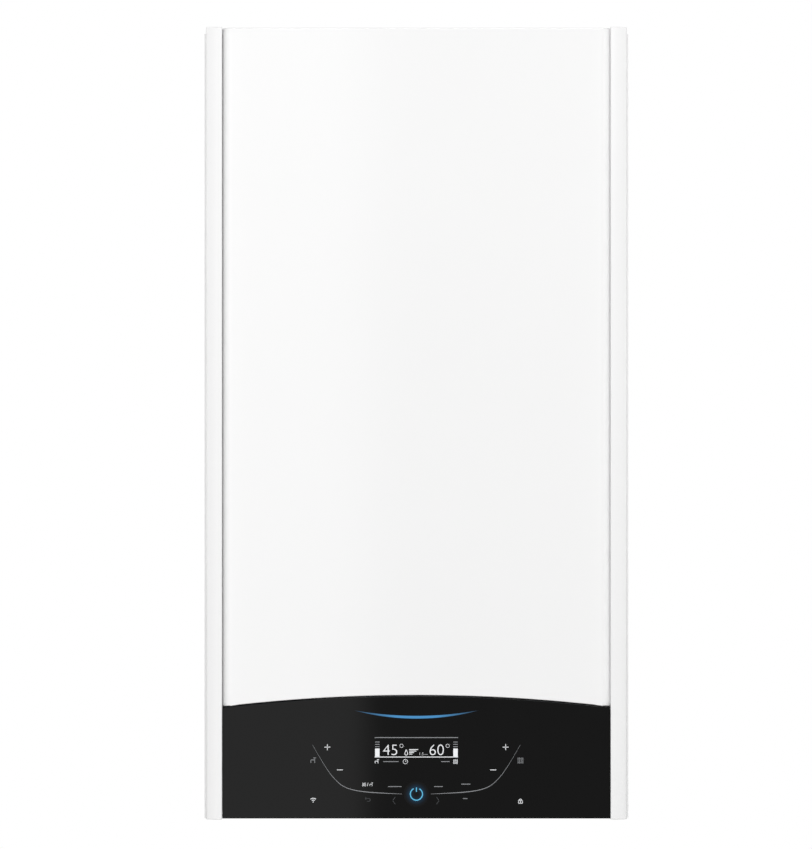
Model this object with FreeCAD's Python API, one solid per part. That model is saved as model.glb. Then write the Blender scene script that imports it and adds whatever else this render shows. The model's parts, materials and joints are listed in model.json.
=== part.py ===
import FreeCAD, Part
import math
import os

# Wall-hung condensing gas boiler. Millimetres, +Z up, the front faces -Y, the wall is the plane Y = 0.
# The origin is midway between the two wall bolts, on the wall.

Vector = FreeCAD.Vector
AXES = {"x": Vector(1, 0, 0), "y": Vector(0, 1, 0), "z": Vector(0, 0, 1)}

# Overall casing, and how far the wall bolts lie below its top.
casing_width = 400.0
casing_height = 745.0
casing_depth = 319.0
bolt_line_drop = 55.0

# Sheet, clearances and the overrun that every cutting shape has past the face it cuts.
sheet = 1.0
frame_sheet = 1.2
seam = 0.8
shaft_clearance = 0.05
hole_clearance = 1.5
overrun = 5.0

# Wall bracket with two upturned hooks, and the play that lets the casing lift off them.
bracket_margin = 30.0
bracket_height = 36.0
bracket_sheet = 2.0
bolt_margin = 30.0
bolt_hole_radius = 5.0
hook_margin = 60.0
hook_width = 30.0
hook_rise = 18.0
hook_play = 1.0
lift_travel = 20.0
lift_play = 2.0

# Back frame: a shallow tray that stands off the wall.
frame_gap = 12.0
frame_foot = 10.0

# Side panels, top plate and edge trims.
side_flange = 14.0
side_rim = 2.0
top_plate_setback = 5.0
trim_depth = 18.0
trim_width = 14.7
trim_wall = 2.0
trim_rise = 5.0
trim_edge_radius = 7.0
trim_inner_radius = 1.5
trim_crown = 0.8
trim_core_inset = 5.0

# Front panel: a pressed tray with its insulation, and the hangers that it tilts on.
panel_recess = 6.0
panel_flange = 12.0
panel_drop = 0.4
pad_thickness = 10.0
pad_margin = 16.0
pad_top_drop = 32.0
pad_foot_height = 140.0
hanger_inset = 24.5
hanger_width = 16.0
hanger_drop = 10.0
hanger_pin_radius = 2.0
hanger_pin_length = 10.0
hanger_arm_depth = 22.0
hanger_arm_rise = 2.0
hanger_arm_height = 6.5
hook_plate_thickness = 4.0
hook_plate_half = 4.0
hook_plate_gap = 2.0

# Control panel: facia, box, boards and the hinge that it swings down on.
facia_thickness = 3.5
facia_edge_height = 105.0
facia_mid_height = 115.8
facia_foot = 0.5
box_inset = 14.5
box_wall = 2.5
box_foot_height = 6.0
box_front_height = 91.0
box_back_height = 84.0
box_depth = 57.5
box_ledge = 16.0
box_floor_gap = 4.0
cover_thickness = 2.0
board_thickness = 1.6
board_stand_off = 14.0
board_margin = 20.0
board_post_radius = 3.5
board_part_start_shares = (0.17, 0.33, 0.67)
board_part_width_share = 0.083
touch_board_margin = 18.0
touch_board_top_height = 87.0
touch_board_foot_height = 12.0
display_width = 92.0
display_height = 34.0
display_mid_height = 61.0
display_play = 1.0
light_arc_width = 118.0
light_arc_end_height = 102.5
light_arc_mid_height = 93.0
light_arc_thickness = 4.0
hinge_axis_height = 14.0
hinge_axis_depth = 19.0
hinge_pin_radius = 3.0
hinge_ear_gap = 6.0
hinge_ear_thickness = 3.0
hinge_ear_half = 6.0
hinge_head_radius = 5.0
hinge_head_length = 3.0
hinge_boss_radius = 6.5
hinge_boss_length = 10.0

# Flue: concentric collar sunk in the top plate, and the pipe below it.
flue_depth = 180.0
flue_socket_radius = 30.3
flue_pipe_radius = 30.0
flue_pipe_wall = 1.5
air_socket_radius = 50.5
collar_wall = 2.7
collar_flange_radius = 70.0
collar_flange = 3.0
collar_depth = 42.0
collar_lip = 4.0
collar_rib = 4.0
collar_rib_height = 10.0
collar_rib_count = 3

# Heat exchanger: a drum on a horizontal axis, with its coil and burner.
exchanger_drop = 240.0
exchanger_radius = 105.0
exchanger_wall = 8.0
exchanger_back = 112.0
exchanger_depth = 138.0
exchanger_floor = 6.0
exchanger_rib_count = 4
exchanger_rib_width = 6.0
exchanger_rib_rise = 3.0
flue_socket_wall = 5.5
flue_socket_rise = 135.0
flue_socket_depth = 25.0
flue_socket_play = 0.5
port_distance = 90.0
port_radius = 14.0
port_drop = 6.0
drain_x = 44.0
drain_plane = 127.0
drain_radius = 12.0
coil_gap = 4.0
coil_thickness = 9.0
coil_end_gap = 6.0
coil_turns = 9
coil_groove_depth = 2.5
coil_groove_share = 0.3
rail_height = 30.0
rail_depth = 6.0
rail_wall = 1.5
door_thickness = 10.0
door_inlet_radius = 26.0
duct_height = 44.0
duct_depth = 34.0
duct_wall = 3.0
duct_reach = 30.0
nut_count = 6
nut_circle_radius = 96.0
nut_width = 10.0
nut_height = 6.0
burner_radius = 32.0
burner_wall = 3.0
burner_length = 100.0
electrode_circle_radius = 58.0
electrode_angle = 120.0
electrode_radius = 6.0
electrode_length = 22.0
electrode_boot_radius = 5.0
electrode_boot_rise = 14.0
electrode_plate = 22.0
electrode_plate_thickness = 2.0

# Ignition transformer on the left side panel, and the high-voltage lead to the electrode.
transformer_width = 39.0
transformer_depth = 60.0
transformer_height = 50.0
transformer_plane = 190.0
transformer_drop = 145.0
lead_radius = 3.5
lead_bend_share = 0.45
lead_turn_rise = 127.0
lead_crest_rise = 155.0
lead_crest_x = -60.0
lead_crest_reach = 262.0
lead_entry_reach = 38.0

# Fan on a vertical axis, its motor on top, and the gas and air mixer below.
fan_side_gap = 20.0
fan_plane = 230.0
fan_radius = 60.0
fan_height = 54.0
fan_wall = 4.0
fan_inlet_radius = 22.0
spout_width = 32.0
spout_gap = 13.0
spout_flange = 4.0
spout_flange_margin = 4.0
fan_motor_radius = 34.0
fan_motor_length = 46.0
fan_shaft_radius = 4.0
fan_shaft_hole_radius = 7.0
fan_shaft_reach = 24.0
fan_shaft_play = 4.0
fan_wheel_radius = 46.0
fan_wheel_gap = 6.0
fan_hub_radius = 10.0
fan_disc = 3.0
fan_blade = 2.0
fan_blade_count = 12
fan_blade_inner_radius = 24.0
mixer_radius = 32.0
mixer_height = 60.0
mixer_throat_radius = 15.0
mixer_flange_radius = 46.0
mixer_flange = 8.0
silencer_width = 88.0
silencer_depth = 44.0
silencer_foot_margin = 12.0
silencer_height = 280.0
silencer_wall = 2.5
silencer_overhang = 20.0
silencer_intake_radius = 16.0
intake_radius = 20.0
intake_wall = 2.5
intake_bend = 30.0
intake_lead = 16.0

# Gas valve and the pipe that feeds it.
gas_valve_width = 76.0
gas_valve_depth = 54.0
gas_valve_height = 65.0
gas_valve_shift = -15.0
gas_valve_plane = 235.0
gas_valve_gap = 17.0
gas_outlet_radius = 7.0
gas_outlet_shift_x = -27.0
gas_outlet_shift_y = -20.0
solenoid_radius = 14.0
solenoid_length = 22.0
solenoid_distance = 36.0
gas_pipe_radius = 9.0
gas_pipe_wall = 1.0
gas_pipe_bend = 22.0
gas_pipe_height = 180.0

# Expansion vessel: two pressed dishes with a rolled seam, flat against the back frame.
vessel_radius = 160.0
vessel_depth = 88.0
vessel_drop = 300.0
vessel_wall = 1.5
vessel_seam = 3.0
vessel_seam_width = 8.0
vessel_nozzle_x = 80.0
vessel_nozzle_radius = 8.0
vessel_nozzle_bore = 4.0
vessel_nozzle_start_share = 0.7
vessel_nozzle_end_share = 0.96
vessel_hose_radius = 5.0
vessel_hose_bend = 25.0
vessel_hose_height = 110.0

# Bottom plate, pipe tails and the two manifold blocks.
bottom_plate_height = 40.0
bottom_plate_depth = 236.0
tail_pitch = 67.0
tail_end_height = 8.0
tail_thread_length = 28.0
tail_step = 1.5
tail_flange = 4.0
tail_flange_rise = 2.5
heating_tail_radius = 13.2
heating_tail_bore = 10.0
water_tail_radius = 10.5
water_tail_bore = 7.5
manifold_back = 120.0
manifold_depth = 70.0
manifold_gap = 90.0
manifold_width = 120.0
manifold_height = 70.0
flow_block_height = 110.0
return_block_height = 80.0

# Pump on the return block, motor to the front.
pump_radius = 45.0
pump_depth = 52.0
pump_wall = 6.0
pump_foot_width = 64.0
pump_foot_inset = 5.0
pump_outlet_radius = 16.0
pump_outlet_rise = 4.0
pump_motor_radius = 42.0
pump_motor_length = 58.0
pump_motor_flange = 6.0
pump_motor_fins = 5
pump_motor_fin_depth = 2.0
pump_motor_fin_share = 0.33
pump_shaft_radius = 4.0
pump_shaft_reach = 24.0
pump_shaft_play = 4.0
pump_wheel_gap = 4.0
pump_wheel_disc = 3.0
pump_vane_count = 6
pump_vane = 2.5
pump_vane_inner_radius = 12.0
pump_hub_radius = 8.0
vent_shift = 32.0
vent_boss_radius = 13.0
vent_radius = 12.0
vent_height = 40.0
vent_cap_radius = 7.0
vent_cap_height = 8.0

# Flow and return pipes between the blocks and the heat exchanger.
pipe_radius = 11.0
pipe_wall = 1.0
pipe_bend = 25.0
flow_pipe_share = 0.56

# Plate heat exchanger across the fronts of the two blocks.
plates_width = 190.0
plates_depth = 42.0
plates_height = 74.0
plates_foot_height = 60.0
plates_count = 10
plates_edge = 1.5
plates_share = 0.55

# Diverter valve in the flow block.
diverter_bore_radius = 12.0
diverter_bore_height = 85.0
diverter_motor_radius = 24.0
diverter_motor_height = 60.0
diverter_stem_radius = 4.0
diverter_stem_reach = 22.0
diverter_stem_play = 6.0
diverter_disc_radius = 11.0
diverter_disc = 6.0
diverter_disc_height = 112.0

# Safety valve, filling tap and flow turbine.
safety_valve_rise = 80.0
safety_valve_radius = 14.0
safety_valve_length = 28.0
knob_stem_radius = 4.0
knob_stem_length = 14.0
knob_stem_play = 2.0
safety_knob_radius = 15.0
safety_knob_length = 18.0
knob_gap = 0.5
knob_grips = 8
knob_grip_radius = 3.0
tap_shift = 33.0
tap_plane = 172.0
tap_radius = 11.0
tap_length = 24.0
tap_knob_height = 24.0
tap_knob_radius = 9.0
tap_wing_length = 32.0
tap_wing_width = 6.0
tap_knob_drop = 4.0
turbine_bore_radius = 11.0
turbine_bore_depth = 36.0
turbine_radius = 10.0
turbine_length = 20.0
turbine_hub_radius = 3.0
turbine_pin_radius = 1.5
turbine_pin_reach = 10.0
turbine_pin_play = 2.0
turbine_vane = 1.2
turbine_vane_count = 4
turbine_gap = 4.0

# Condensate trap, its cup and the hose from the heat exchanger.
trap_x = 25.0
trap_plane = 85.0
trap_radius = 26.0
trap_foot_height = 88.0
trap_top_height = 200.0
trap_arm_width = 20.0
trap_arm_height = 15.0
trap_arm_foot_height = 150.0
cup_radius = 23.0
cup_height = 38.0
cup_wall = 2.5
drain_tail_radius = 10.0
drain_tail_bore = 7.5
condensate_hose_radius = 9.0
condensate_hose_wall = 1.5
condensate_hose_bend = 30.0
condensate_hose_drop_share = 0.36
condensate_hose_entry_rise = 25.0

# The casing's main planes, worked out from the sizes above.
half_width = casing_width / 2
inner_half = half_width - sheet
top_z = bolt_line_drop
bottom_z = top_z - casing_height
front_y = -casing_depth
trim_back_y = front_y + trim_depth
trim_outer_x = half_width - side_rim
trim_inner_x = trim_outer_x - trim_width
side_top_z = top_z - trim_rise
face_y = front_y + panel_recess
panel_half = trim_inner_x - seam
panel_top_z = top_z - panel_drop
bracket_length = casing_width - 2 * bracket_margin
bolt_spacing = bracket_length - 2 * bolt_margin
hook_spacing = bracket_length - 2 * hook_margin
hanger_x = panel_half - hanger_inset
box_width = 2 * (panel_half - box_inset)
touch_board_width = box_width - 2 * touch_board_margin
frame_back_y = -frame_gap
frame_front_y = frame_back_y - frame_sheet
frame_low_z = bottom_z + frame_foot
frame_high_z = side_top_z - sheet
top_front_y = trim_back_y + top_plate_setback
hook_floor_z = bracket_sheet - bracket_height / 2
hook_lip_y = frame_front_y - hook_play
hook_tip_y = hook_lip_y - bracket_sheet
hinge_y = front_y + hinge_axis_depth
facia_back_y = face_y + facia_thickness
box_back_y = facia_back_y + box_depth
manifold_mid_x = (manifold_gap + manifold_width) / 2
manifold_mid_y = -(manifold_back + manifold_depth / 2)
manifold_front_y = -(manifold_back + manifold_depth)
pump_mid_y = -(manifold_back + pump_depth / 2)
pump_front_y = -(manifold_back + pump_depth)
exchanger_x = manifold_mid_x - port_distance / 2
exchanger_left_x = exchanger_x - exchanger_radius
fan_x = exchanger_left_x - fan_side_gap - fan_radius
spout_end_x = exchanger_left_x - spout_gap
gas_valve_x = fan_x + gas_valve_shift
exchanger_front_y = -(exchanger_back + exchanger_depth)
door_front_y = exchanger_front_y - door_thickness
rail_back_y = rail_depth - exchanger_back


def up(height):
    """Z of a height above the casing's bottom."""
    return bottom_z + height


hinge_z = up(hinge_axis_height)
exchanger_z = top_z - exchanger_drop
flue_socket_z = exchanger_z + flue_socket_rise
vessel_z = top_z - vessel_drop
transformer_z = top_z - transformer_drop
fan_low_z = exchanger_z - fan_height / 2
fan_high_z = exchanger_z + fan_height / 2
mixer_z = fan_low_z - mixer_height
intake_z = mixer_z - intake_bend - intake_lead
gas_valve_top_z = intake_z - intake_radius - gas_valve_gap
gas_valve_z = gas_valve_top_z - gas_valve_height
flow_top_z = up(manifold_height + flow_block_height)
return_top_z = up(manifold_height + return_block_height)
pump_z = return_top_z + pump_radius
pump_outlet_z = pump_z + pump_radius + pump_outlet_rise
port_z = exchanger_z - exchanger_radius - port_drop
plate_low_z = up(bottom_plate_height)
plate_high_z = plate_low_z + frame_sheet
hanger_z = top_z - hanger_drop
hanger_y = face_y + panel_recess


def block(x0, x1, y0, y1, z0, z1):
    """Box between two opposite corners, given in any order."""
    low = Vector(min(x0, x1), min(y0, y1), min(z0, z1))
    return Part.makeBox(abs(x1 - x0), abs(y1 - y0), abs(z1 - z0), low)


def rod(axis, radius, start, length):
    """Round bar from a point along an axis; a negative length runs backwards."""
    return Part.makeCylinder(radius, abs(length), start, AXES[axis] * math.copysign(1, length))


def tube(axis, outer, inner, start, length):
    """Round tube from a point along an axis."""
    return rod(axis, outer, start, length).cut(rod(axis, inner, start, length))


def merged(first, *others):
    """One solid from shapes that overlap or touch, without leftover edges."""
    return first.fuse(list(others)).removeSplitter()


def bend_edges(points, radii):
    """Straight runs through the points, joined by tangent arcs of the given radii."""
    edges = []
    last = points[0]
    for index in range(1, len(points) - 1):
        corner = points[index]
        into = (corner - points[index - 1]).normalize()
        away = (points[index + 1] - corner).normalize()
        half_turn = into.getAngle(away) / 2
        radius = radii[index - 1]
        setback = radius * math.tan(half_turn)
        inward = (away - into).normalize() * (radius / math.cos(half_turn) - radius)
        begin = corner - into * setback
        finish = corner + away * setback
        edges.append(Part.makeLine(last, begin))
        edges.append(Part.Arc(begin, corner + inward, finish).toShape())
        last = finish
    edges.append(Part.makeLine(last, points[-1]))
    return edges


def sweep(points, radii, radius):
    """Round bar along a bent route."""
    path = Part.Wire(bend_edges(points, radii))
    ring = Part.Wire([Part.makeCircle(radius, points[0], points[1] - points[0])])
    return path.makePipeShell([ring], True, False)


def bent_pipe(points, bend, radius, wall):
    """Hollow pipe along a bent route with one bend radius."""
    radii = [bend] * (len(points) - 2)
    return sweep(points, radii, radius).cut(sweep(points, radii, radius - wall))


def spokes(shape, count, centre, axis):
    """Copies of one shape, turned evenly about an axis."""
    copies = []
    for index in range(count):
        copy = shape.copy()
        copy.rotate(centre, AXES[axis], index * 360.0 / count)
        copies.append(copy)
    return copies


def wall_bracket():
    """Steel strip for the wall bolts, with a pair of upturned hooks at its lower edge."""
    bracket = block(-bracket_length / 2, bracket_length / 2, 0, -bracket_sheet,
                    -bracket_height / 2, bracket_height / 2)
    for side in (-1, 1):
        hole = Vector(side * bolt_spacing / 2, overrun, 0)
        bracket = bracket.cut(rod("y", bolt_hole_radius, hole, -2 * overrun - bracket_sheet))
        left = (side * hook_spacing - hook_width) / 2
        right = left + hook_width
        arm = block(left, right, 0, hook_tip_y, hook_floor_z - bracket_sheet, hook_floor_z)
        lip = block(left, right, hook_lip_y, hook_tip_y, hook_floor_z, hook_floor_z + hook_rise)
        bracket = merged(bracket, arm, lip)
    return bracket


def back_frame():
    """Tray that is open to the wall, with a slot for each hook; its rim rests on the wall."""
    tray = block(-inner_half, inner_half, 0, frame_front_y, frame_low_z, frame_high_z)
    inside = inner_half - frame_sheet
    tray = tray.cut(block(-inside, inside, overrun, frame_back_y,
                          frame_low_z + frame_sheet, frame_high_z - frame_sheet))
    slot_half = hook_width / 2 + hole_clearance
    slot_low_z = hook_floor_z - bracket_sheet - lift_travel - lift_play
    for side in (-1, 1):
        middle = side * hook_spacing / 2
        tray = tray.cut(block(middle - slot_half, middle + slot_half, frame_back_y + overrun,
                              frame_front_y - overrun, slot_low_z, hook_floor_z))
    return tray


def side_panel(side):
    """Side sheet with folded flanges, and the ear that carries the control panel's hinge pin."""
    flange_x = side * (inner_half - side_flange)
    inner_x = side * inner_half
    skin = block(side * half_width, inner_x, 0, trim_back_y, bottom_z, side_top_z)
    front = block(inner_x, flange_x, trim_back_y, trim_back_y + sheet, bottom_z, side_top_z)
    top = block(inner_x, flange_x, frame_front_y, top_front_y, side_top_z - 2 * sheet, side_top_z - sheet)
    ear_x = side * (box_width / 2 + hinge_ear_gap)
    ear = block(ear_x, ear_x + side * hinge_ear_thickness, hinge_y - hinge_ear_half, hinge_y + hinge_ear_half,
                hinge_z - hinge_ear_half, hinge_z + hinge_ear_half)
    arm = block(ear_x, inner_x, hinge_y + hinge_ear_half, hinge_y + hinge_ear_half + hinge_ear_thickness,
                hinge_z - hinge_ear_half, hinge_z + hinge_ear_half)
    hole = rod("x", hinge_pin_radius + shaft_clearance,
               Vector(ear_x - side * overrun, hinge_y, hinge_z), side * (hinge_ear_thickness + 2 * overrun))
    return merged(skin, front, top, arm, ear.cut(hole))


def top_plate():
    """Top sheet with the flue opening and the two hangers that the front panel tilts on."""
    plate = block(-inner_half, inner_half, 0, top_front_y, side_top_z - sheet, side_top_z)
    collar_hole = air_socket_radius + collar_wall + hole_clearance
    hole_top = Vector(0, -flue_depth, side_top_z + overrun)
    plate = plate.cut(rod("z", collar_hole, hole_top, -2 * overrun - sheet))
    for side in (-1, 1):
        inner_x = side * (hanger_x - hanger_width / 2)
        outer_x = inner_x + side * hanger_width
        arm_top_z = hanger_z + hanger_arm_rise
        arm = block(inner_x, outer_x, hanger_y - hanger_pin_radius, hanger_y + hanger_arm_depth,
                    arm_top_z - hanger_arm_height, arm_top_z)
        foot = block(inner_x, outer_x, top_front_y, hanger_y + hanger_arm_depth,
                     arm_top_z, side_top_z - sheet)
        pin = rod("x", hanger_pin_radius, Vector(outer_x, hanger_y, hanger_z), side * hanger_pin_length)
        plate = merged(plate, arm, foot, pin)
    return plate


def tail_places():
    """X of each pipe tail: heating at the outside, then water, with gas in the middle."""
    return {"flow": -2 * tail_pitch, "hot": -tail_pitch, "gas": 0,
            "cold": tail_pitch, "return": 2 * tail_pitch}


def bottom_plate():
    """Bottom sheet, sunk above the casing's lower edge, with a hole for each tail and for the tap knob."""
    plate = block(-inner_half, inner_half, frame_front_y, -bottom_plate_depth, plate_low_z, plate_high_z)
    places = tail_places()
    radii = {"flow": heating_tail_radius, "hot": water_tail_radius, "gas": gas_pipe_radius,
             "cold": water_tail_radius, "return": heating_tail_radius}
    holes = [(places[name], manifold_mid_y, radii[name]) for name in places]
    holes.append((trap_x, -trap_plane, drain_tail_radius))
    holes.append((tail_pitch + tap_shift, -tap_plane, knob_stem_radius))
    for x, y, radius in holes:
        foot = Vector(x, y, plate_low_z - overrun)
        plate = plate.cut(rod("z", radius + hole_clearance, foot, frame_sheet + 2 * overrun))
    return plate


def edge_trim(side):
    """Upright moulded strip, crowned on its face, round on its outer edge and open at the back."""
    inner, outer = trim_inner_x, trim_outer_x
    crown_y = front_y + trim_crown
    lean = 1 - math.sqrt(0.5)
    corner_x = inner + trim_inner_radius
    edge_x = outer - trim_edge_radius
    outline = [
        (inner, trim_back_y), (inner, crown_y + trim_inner_radius),
        (inner + lean * trim_inner_radius, crown_y + lean * trim_inner_radius), (corner_x, crown_y),
        ((corner_x + edge_x) / 2, front_y + trim_crown / 4), (edge_x, front_y),
        (outer - lean * trim_edge_radius, front_y + lean * trim_edge_radius),
        (outer, front_y + trim_edge_radius), (outer, trim_back_y),
    ]
    points = [Vector(side * x, y, bottom_z) for x, y in outline]
    edges = [Part.makeLine(points[0], points[1])]
    for first in (1, 3, 5):
        edges.append(Part.Arc(points[first], points[first + 1], points[first + 2]).toShape())
    edges.append(Part.makeLine(points[7], points[8]))
    edges.append(Part.makeLine(points[8], points[0]))
    strip = Part.Face(Part.Wire(edges)).extrude(Vector(0, 0, casing_height))
    core = block(side * (inner + trim_wall), side * (outer - trim_core_inset), trim_back_y + overrun,
                 crown_y + trim_wall, bottom_z + trim_wall, top_z - trim_wall)
    return strip.cut(core)


def arched_face(half, low_z, edge_z, middle_z, y):
    """Upright face with a straight foot and an arched top."""
    corners = [Vector(-half, y, low_z), Vector(half, y, low_z),
               Vector(half, y, edge_z), Vector(-half, y, edge_z)]
    edges = [Part.makeLine(corners[0], corners[1]), Part.makeLine(corners[1], corners[2]),
             Part.Arc(corners[2], Vector(0, y, middle_z), corners[3]).toShape(),
             Part.makeLine(corners[3], corners[0])]
    return Part.Face(Part.Wire(edges))


def panel_solid(inset, front, back):
    """Front panel's outline, drawn in by an inset and run from one depth to another."""
    half = panel_half - inset
    edge_z = up(facia_edge_height) + seam + inset
    middle_z = up(facia_mid_height) + seam + inset
    high_z = panel_top_z - inset
    corners = [Vector(-half, front, high_z), Vector(half, front, high_z),
               Vector(half, front, edge_z), Vector(-half, front, edge_z)]
    edges = [Part.makeLine(corners[0], corners[1]), Part.makeLine(corners[1], corners[2]),
             Part.Arc(corners[2], Vector(0, front, middle_z), corners[3]).toShape(),
             Part.makeLine(corners[3], corners[0])]
    return Part.Face(Part.Wire(edges)).extrude(Vector(0, back - front, 0))


def front_panel():
    """Pressed tray whose lower edge follows the facia, with a hook plate over each hanger pin."""
    tray = panel_solid(0, face_y, face_y + panel_flange)
    tray = tray.cut(panel_solid(sheet, face_y + sheet, face_y + panel_flange + overrun))
    seat = hanger_pin_radius + shaft_clearance
    for side in (-1, 1):
        near_x = side * (hanger_x + hanger_width / 2 + hook_plate_gap)
        far_x = near_x + side * hook_plate_thickness
        plate = block(near_x, far_x, face_y + sheet, hanger_y + hook_plate_half,
                      hanger_z - hook_plate_half, hanger_z + hook_plate_half)
        bore = rod("x", seat, Vector(near_x - side * overrun, hanger_y, hanger_z),
                   side * (hook_plate_thickness + 2 * overrun))
        mouth = block(near_x - overrun, near_x + side * hook_plate_thickness + overrun, hanger_y - seat,
                      hanger_y + seat, hanger_z, hanger_z - hook_plate_half - overrun)
        tray = merged(tray, plate.cut(bore).cut(mouth))
    return tray


def panel_insulation():
    """Foam pad bonded inside the front panel."""
    half = panel_half - pad_margin
    return block(-half, half, face_y + sheet, face_y + sheet + pad_thickness,
                 up(pad_foot_height), top_z - pad_top_drop)


def facia():
    """Black front plate of the control panel, straight below and arched above."""
    face = arched_face(panel_half, up(facia_foot), up(facia_edge_height), up(facia_mid_height), face_y)
    return face.extrude(Vector(0, facia_thickness, 0))


def box_profile(inset, half):
    """Control box outline seen from the side, drawn in by an inset, run across the width."""
    front = facia_back_y + inset
    back = box_back_y
    low = up(box_foot_height) + inset
    high = up(box_front_height) - inset
    outline = [(front, low), (back, low), (back, up(box_back_height) - inset),
               (facia_back_y + box_ledge, high), (front, high), (front, low)]
    wire = Part.makePolygon([Vector(-half, y, z) for y, z in outline])
    return Part.Face(wire).extrude(Vector(2 * half, 0, 0))


def control_box():
    """Moulded box behind the facia, open at the back, with hinge bosses and posts for the main board."""
    half = box_width / 2
    floor_y = facia_back_y + box_floor_gap
    box = box_profile(0, half)
    box = box.cut(box_profile(box_wall, half - box_wall).common(
        block(-half, half, floor_y + box_wall, box_back_y, bottom_z, top_z)))
    box = box.cut(box.common(block(box_wall - half, half - box_wall, facia_back_y, floor_y,
                                   up(box_foot_height) + box_wall, up(box_front_height) - box_wall)))
    for side in (-1, 1):
        outer = side * half
        boss = rod("x", hinge_boss_radius, Vector(outer, hinge_y, hinge_z), -side * hinge_boss_length)
        bore = rod("x", hinge_pin_radius + shaft_clearance, Vector(outer + side * overrun, hinge_y, hinge_z),
                   -side * (hinge_boss_length + overrun))
        box = merged(box, boss).cut(bore)
    for post in board_post_places():
        foot = Vector(post[0], floor_y + box_wall, post[1])
        box = merged(box, rod("y", board_post_radius, foot, board_stand_off))
    return box


def board_edges():
    """Left, right, low and high limits of the main board."""
    half = box_width / 2 - board_margin
    return -half, half, up(box_foot_height) + board_margin, up(box_back_height) - board_margin / 2


def board_post_places():
    """The main board's four fixing points, in from its corners."""
    left, right, low, high = board_edges()
    inset = 2 * board_post_radius
    return [(x, z) for x in (left + inset, right - inset) for z in (low + inset, high - inset)]


def main_board():
    """Main circuit board on its posts, with two relay blocks and a transformer."""
    left, right, low, high = board_edges()
    back = facia_back_y + box_floor_gap + box_wall + board_stand_off
    board = block(left, right, back, back + board_thickness, low, high)
    face = back + board_thickness
    width = (right - left) * board_part_width_share
    for share in board_part_start_shares:
        x = left + (right - left) * share
        board = merged(board, block(x, x + width, face, face + board_stand_off,
                                    low + board_post_radius, (low + high) / 2))
    return board


def control_box_cover():
    """Flat cover that closes the back of the control box."""
    half = box_width / 2
    return block(-half, half, box_back_y, box_back_y + cover_thickness,
                 up(box_foot_height), up(box_back_height))


def display_solid(play, depth):
    """Display outline with play all round, run back from the facia."""
    half = display_width / 2 + play
    tall = display_height / 2 + play
    middle = up(display_mid_height)
    return block(-half, half, facia_back_y, facia_back_y + depth, middle - tall, middle + tall)


def touch_board():
    """Thin board behind the facia that senses the keys, with a window for the display."""
    half = touch_board_width / 2
    board = block(-half, half, facia_back_y, facia_back_y + board_thickness,
                  up(touch_board_foot_height), up(touch_board_top_height))
    return board.cut(display_solid(display_play, board_thickness))


def display_module():
    """Display that stands between the facia and the control box."""
    return display_solid(0, box_floor_gap)


def light_guide():
    """Clear crescent behind the facia that spreads the arc of light."""
    half = light_arc_width / 2
    ends = [Vector(side * half, facia_back_y, up(light_arc_end_height)) for side in (-1, 1)]
    low = Vector(0, facia_back_y, up(light_arc_mid_height))
    high = low + Vector(0, 0, light_arc_thickness)
    edges = [Part.Arc(ends[0], low, ends[1]).toShape(), Part.Arc(ends[1], high, ends[0]).toShape()]
    return Part.Face(Part.Wire(edges)).extrude(Vector(0, board_thickness, 0))


def hinge_pins():
    """Headed pins through the side panels' ears into the control box."""
    pins = []
    for side in (-1, 1):
        ear_x = side * (box_width / 2 + hinge_ear_gap + hinge_ear_thickness)
        reach = hinge_ear_thickness + hinge_ear_gap + hinge_boss_length
        shank = rod("x", hinge_pin_radius, Vector(ear_x, hinge_y, hinge_z), -side * reach)
        head = rod("x", hinge_head_radius, Vector(ear_x, hinge_y, hinge_z), side * hinge_head_length)
        pins.append(merged(shank, head))
    return Part.makeCompound(pins)


def flue_collar():
    """Concentric socket: exhaust inside, air outside, joined by ribs at the lower end."""
    centre = Vector(0, -flue_depth, side_top_z + collar_flange)
    length = -(collar_flange + collar_depth)
    outer = tube("z", air_socket_radius + collar_wall, air_socket_radius, centre, length)
    flange = tube("z", collar_flange_radius, air_socket_radius, centre, -collar_flange)
    inner = tube("z", flue_socket_radius + collar_wall, flue_socket_radius, centre, length)
    low = centre + Vector(0, 0, length)
    lip = tube("z", flue_socket_radius + collar_wall, flue_pipe_radius - flue_pipe_wall, low, -collar_lip)
    rib = block(flue_socket_radius + collar_wall / 2, air_socket_radius + collar_wall / 2,
                -flue_depth - collar_rib / 2, -flue_depth + collar_rib / 2, low.z, low.z + collar_rib_height)
    return merged(outer, flange, inner, lip, *spokes(rib, collar_rib_count, centre, "z"))


def flue_seat_z():
    """Z of the shoulder in the heat exchanger that the flue pipe stands on."""
    return flue_socket_z - flue_socket_depth


def flue_pipe():
    """Exhaust pipe from the heat exchanger up to the collar."""
    low = flue_seat_z()
    high = side_top_z - collar_depth - collar_lip
    foot = Vector(0, -flue_depth, low)
    return tube("z", flue_pipe_radius, flue_pipe_radius - flue_pipe_wall, foot, high - low)


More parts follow.
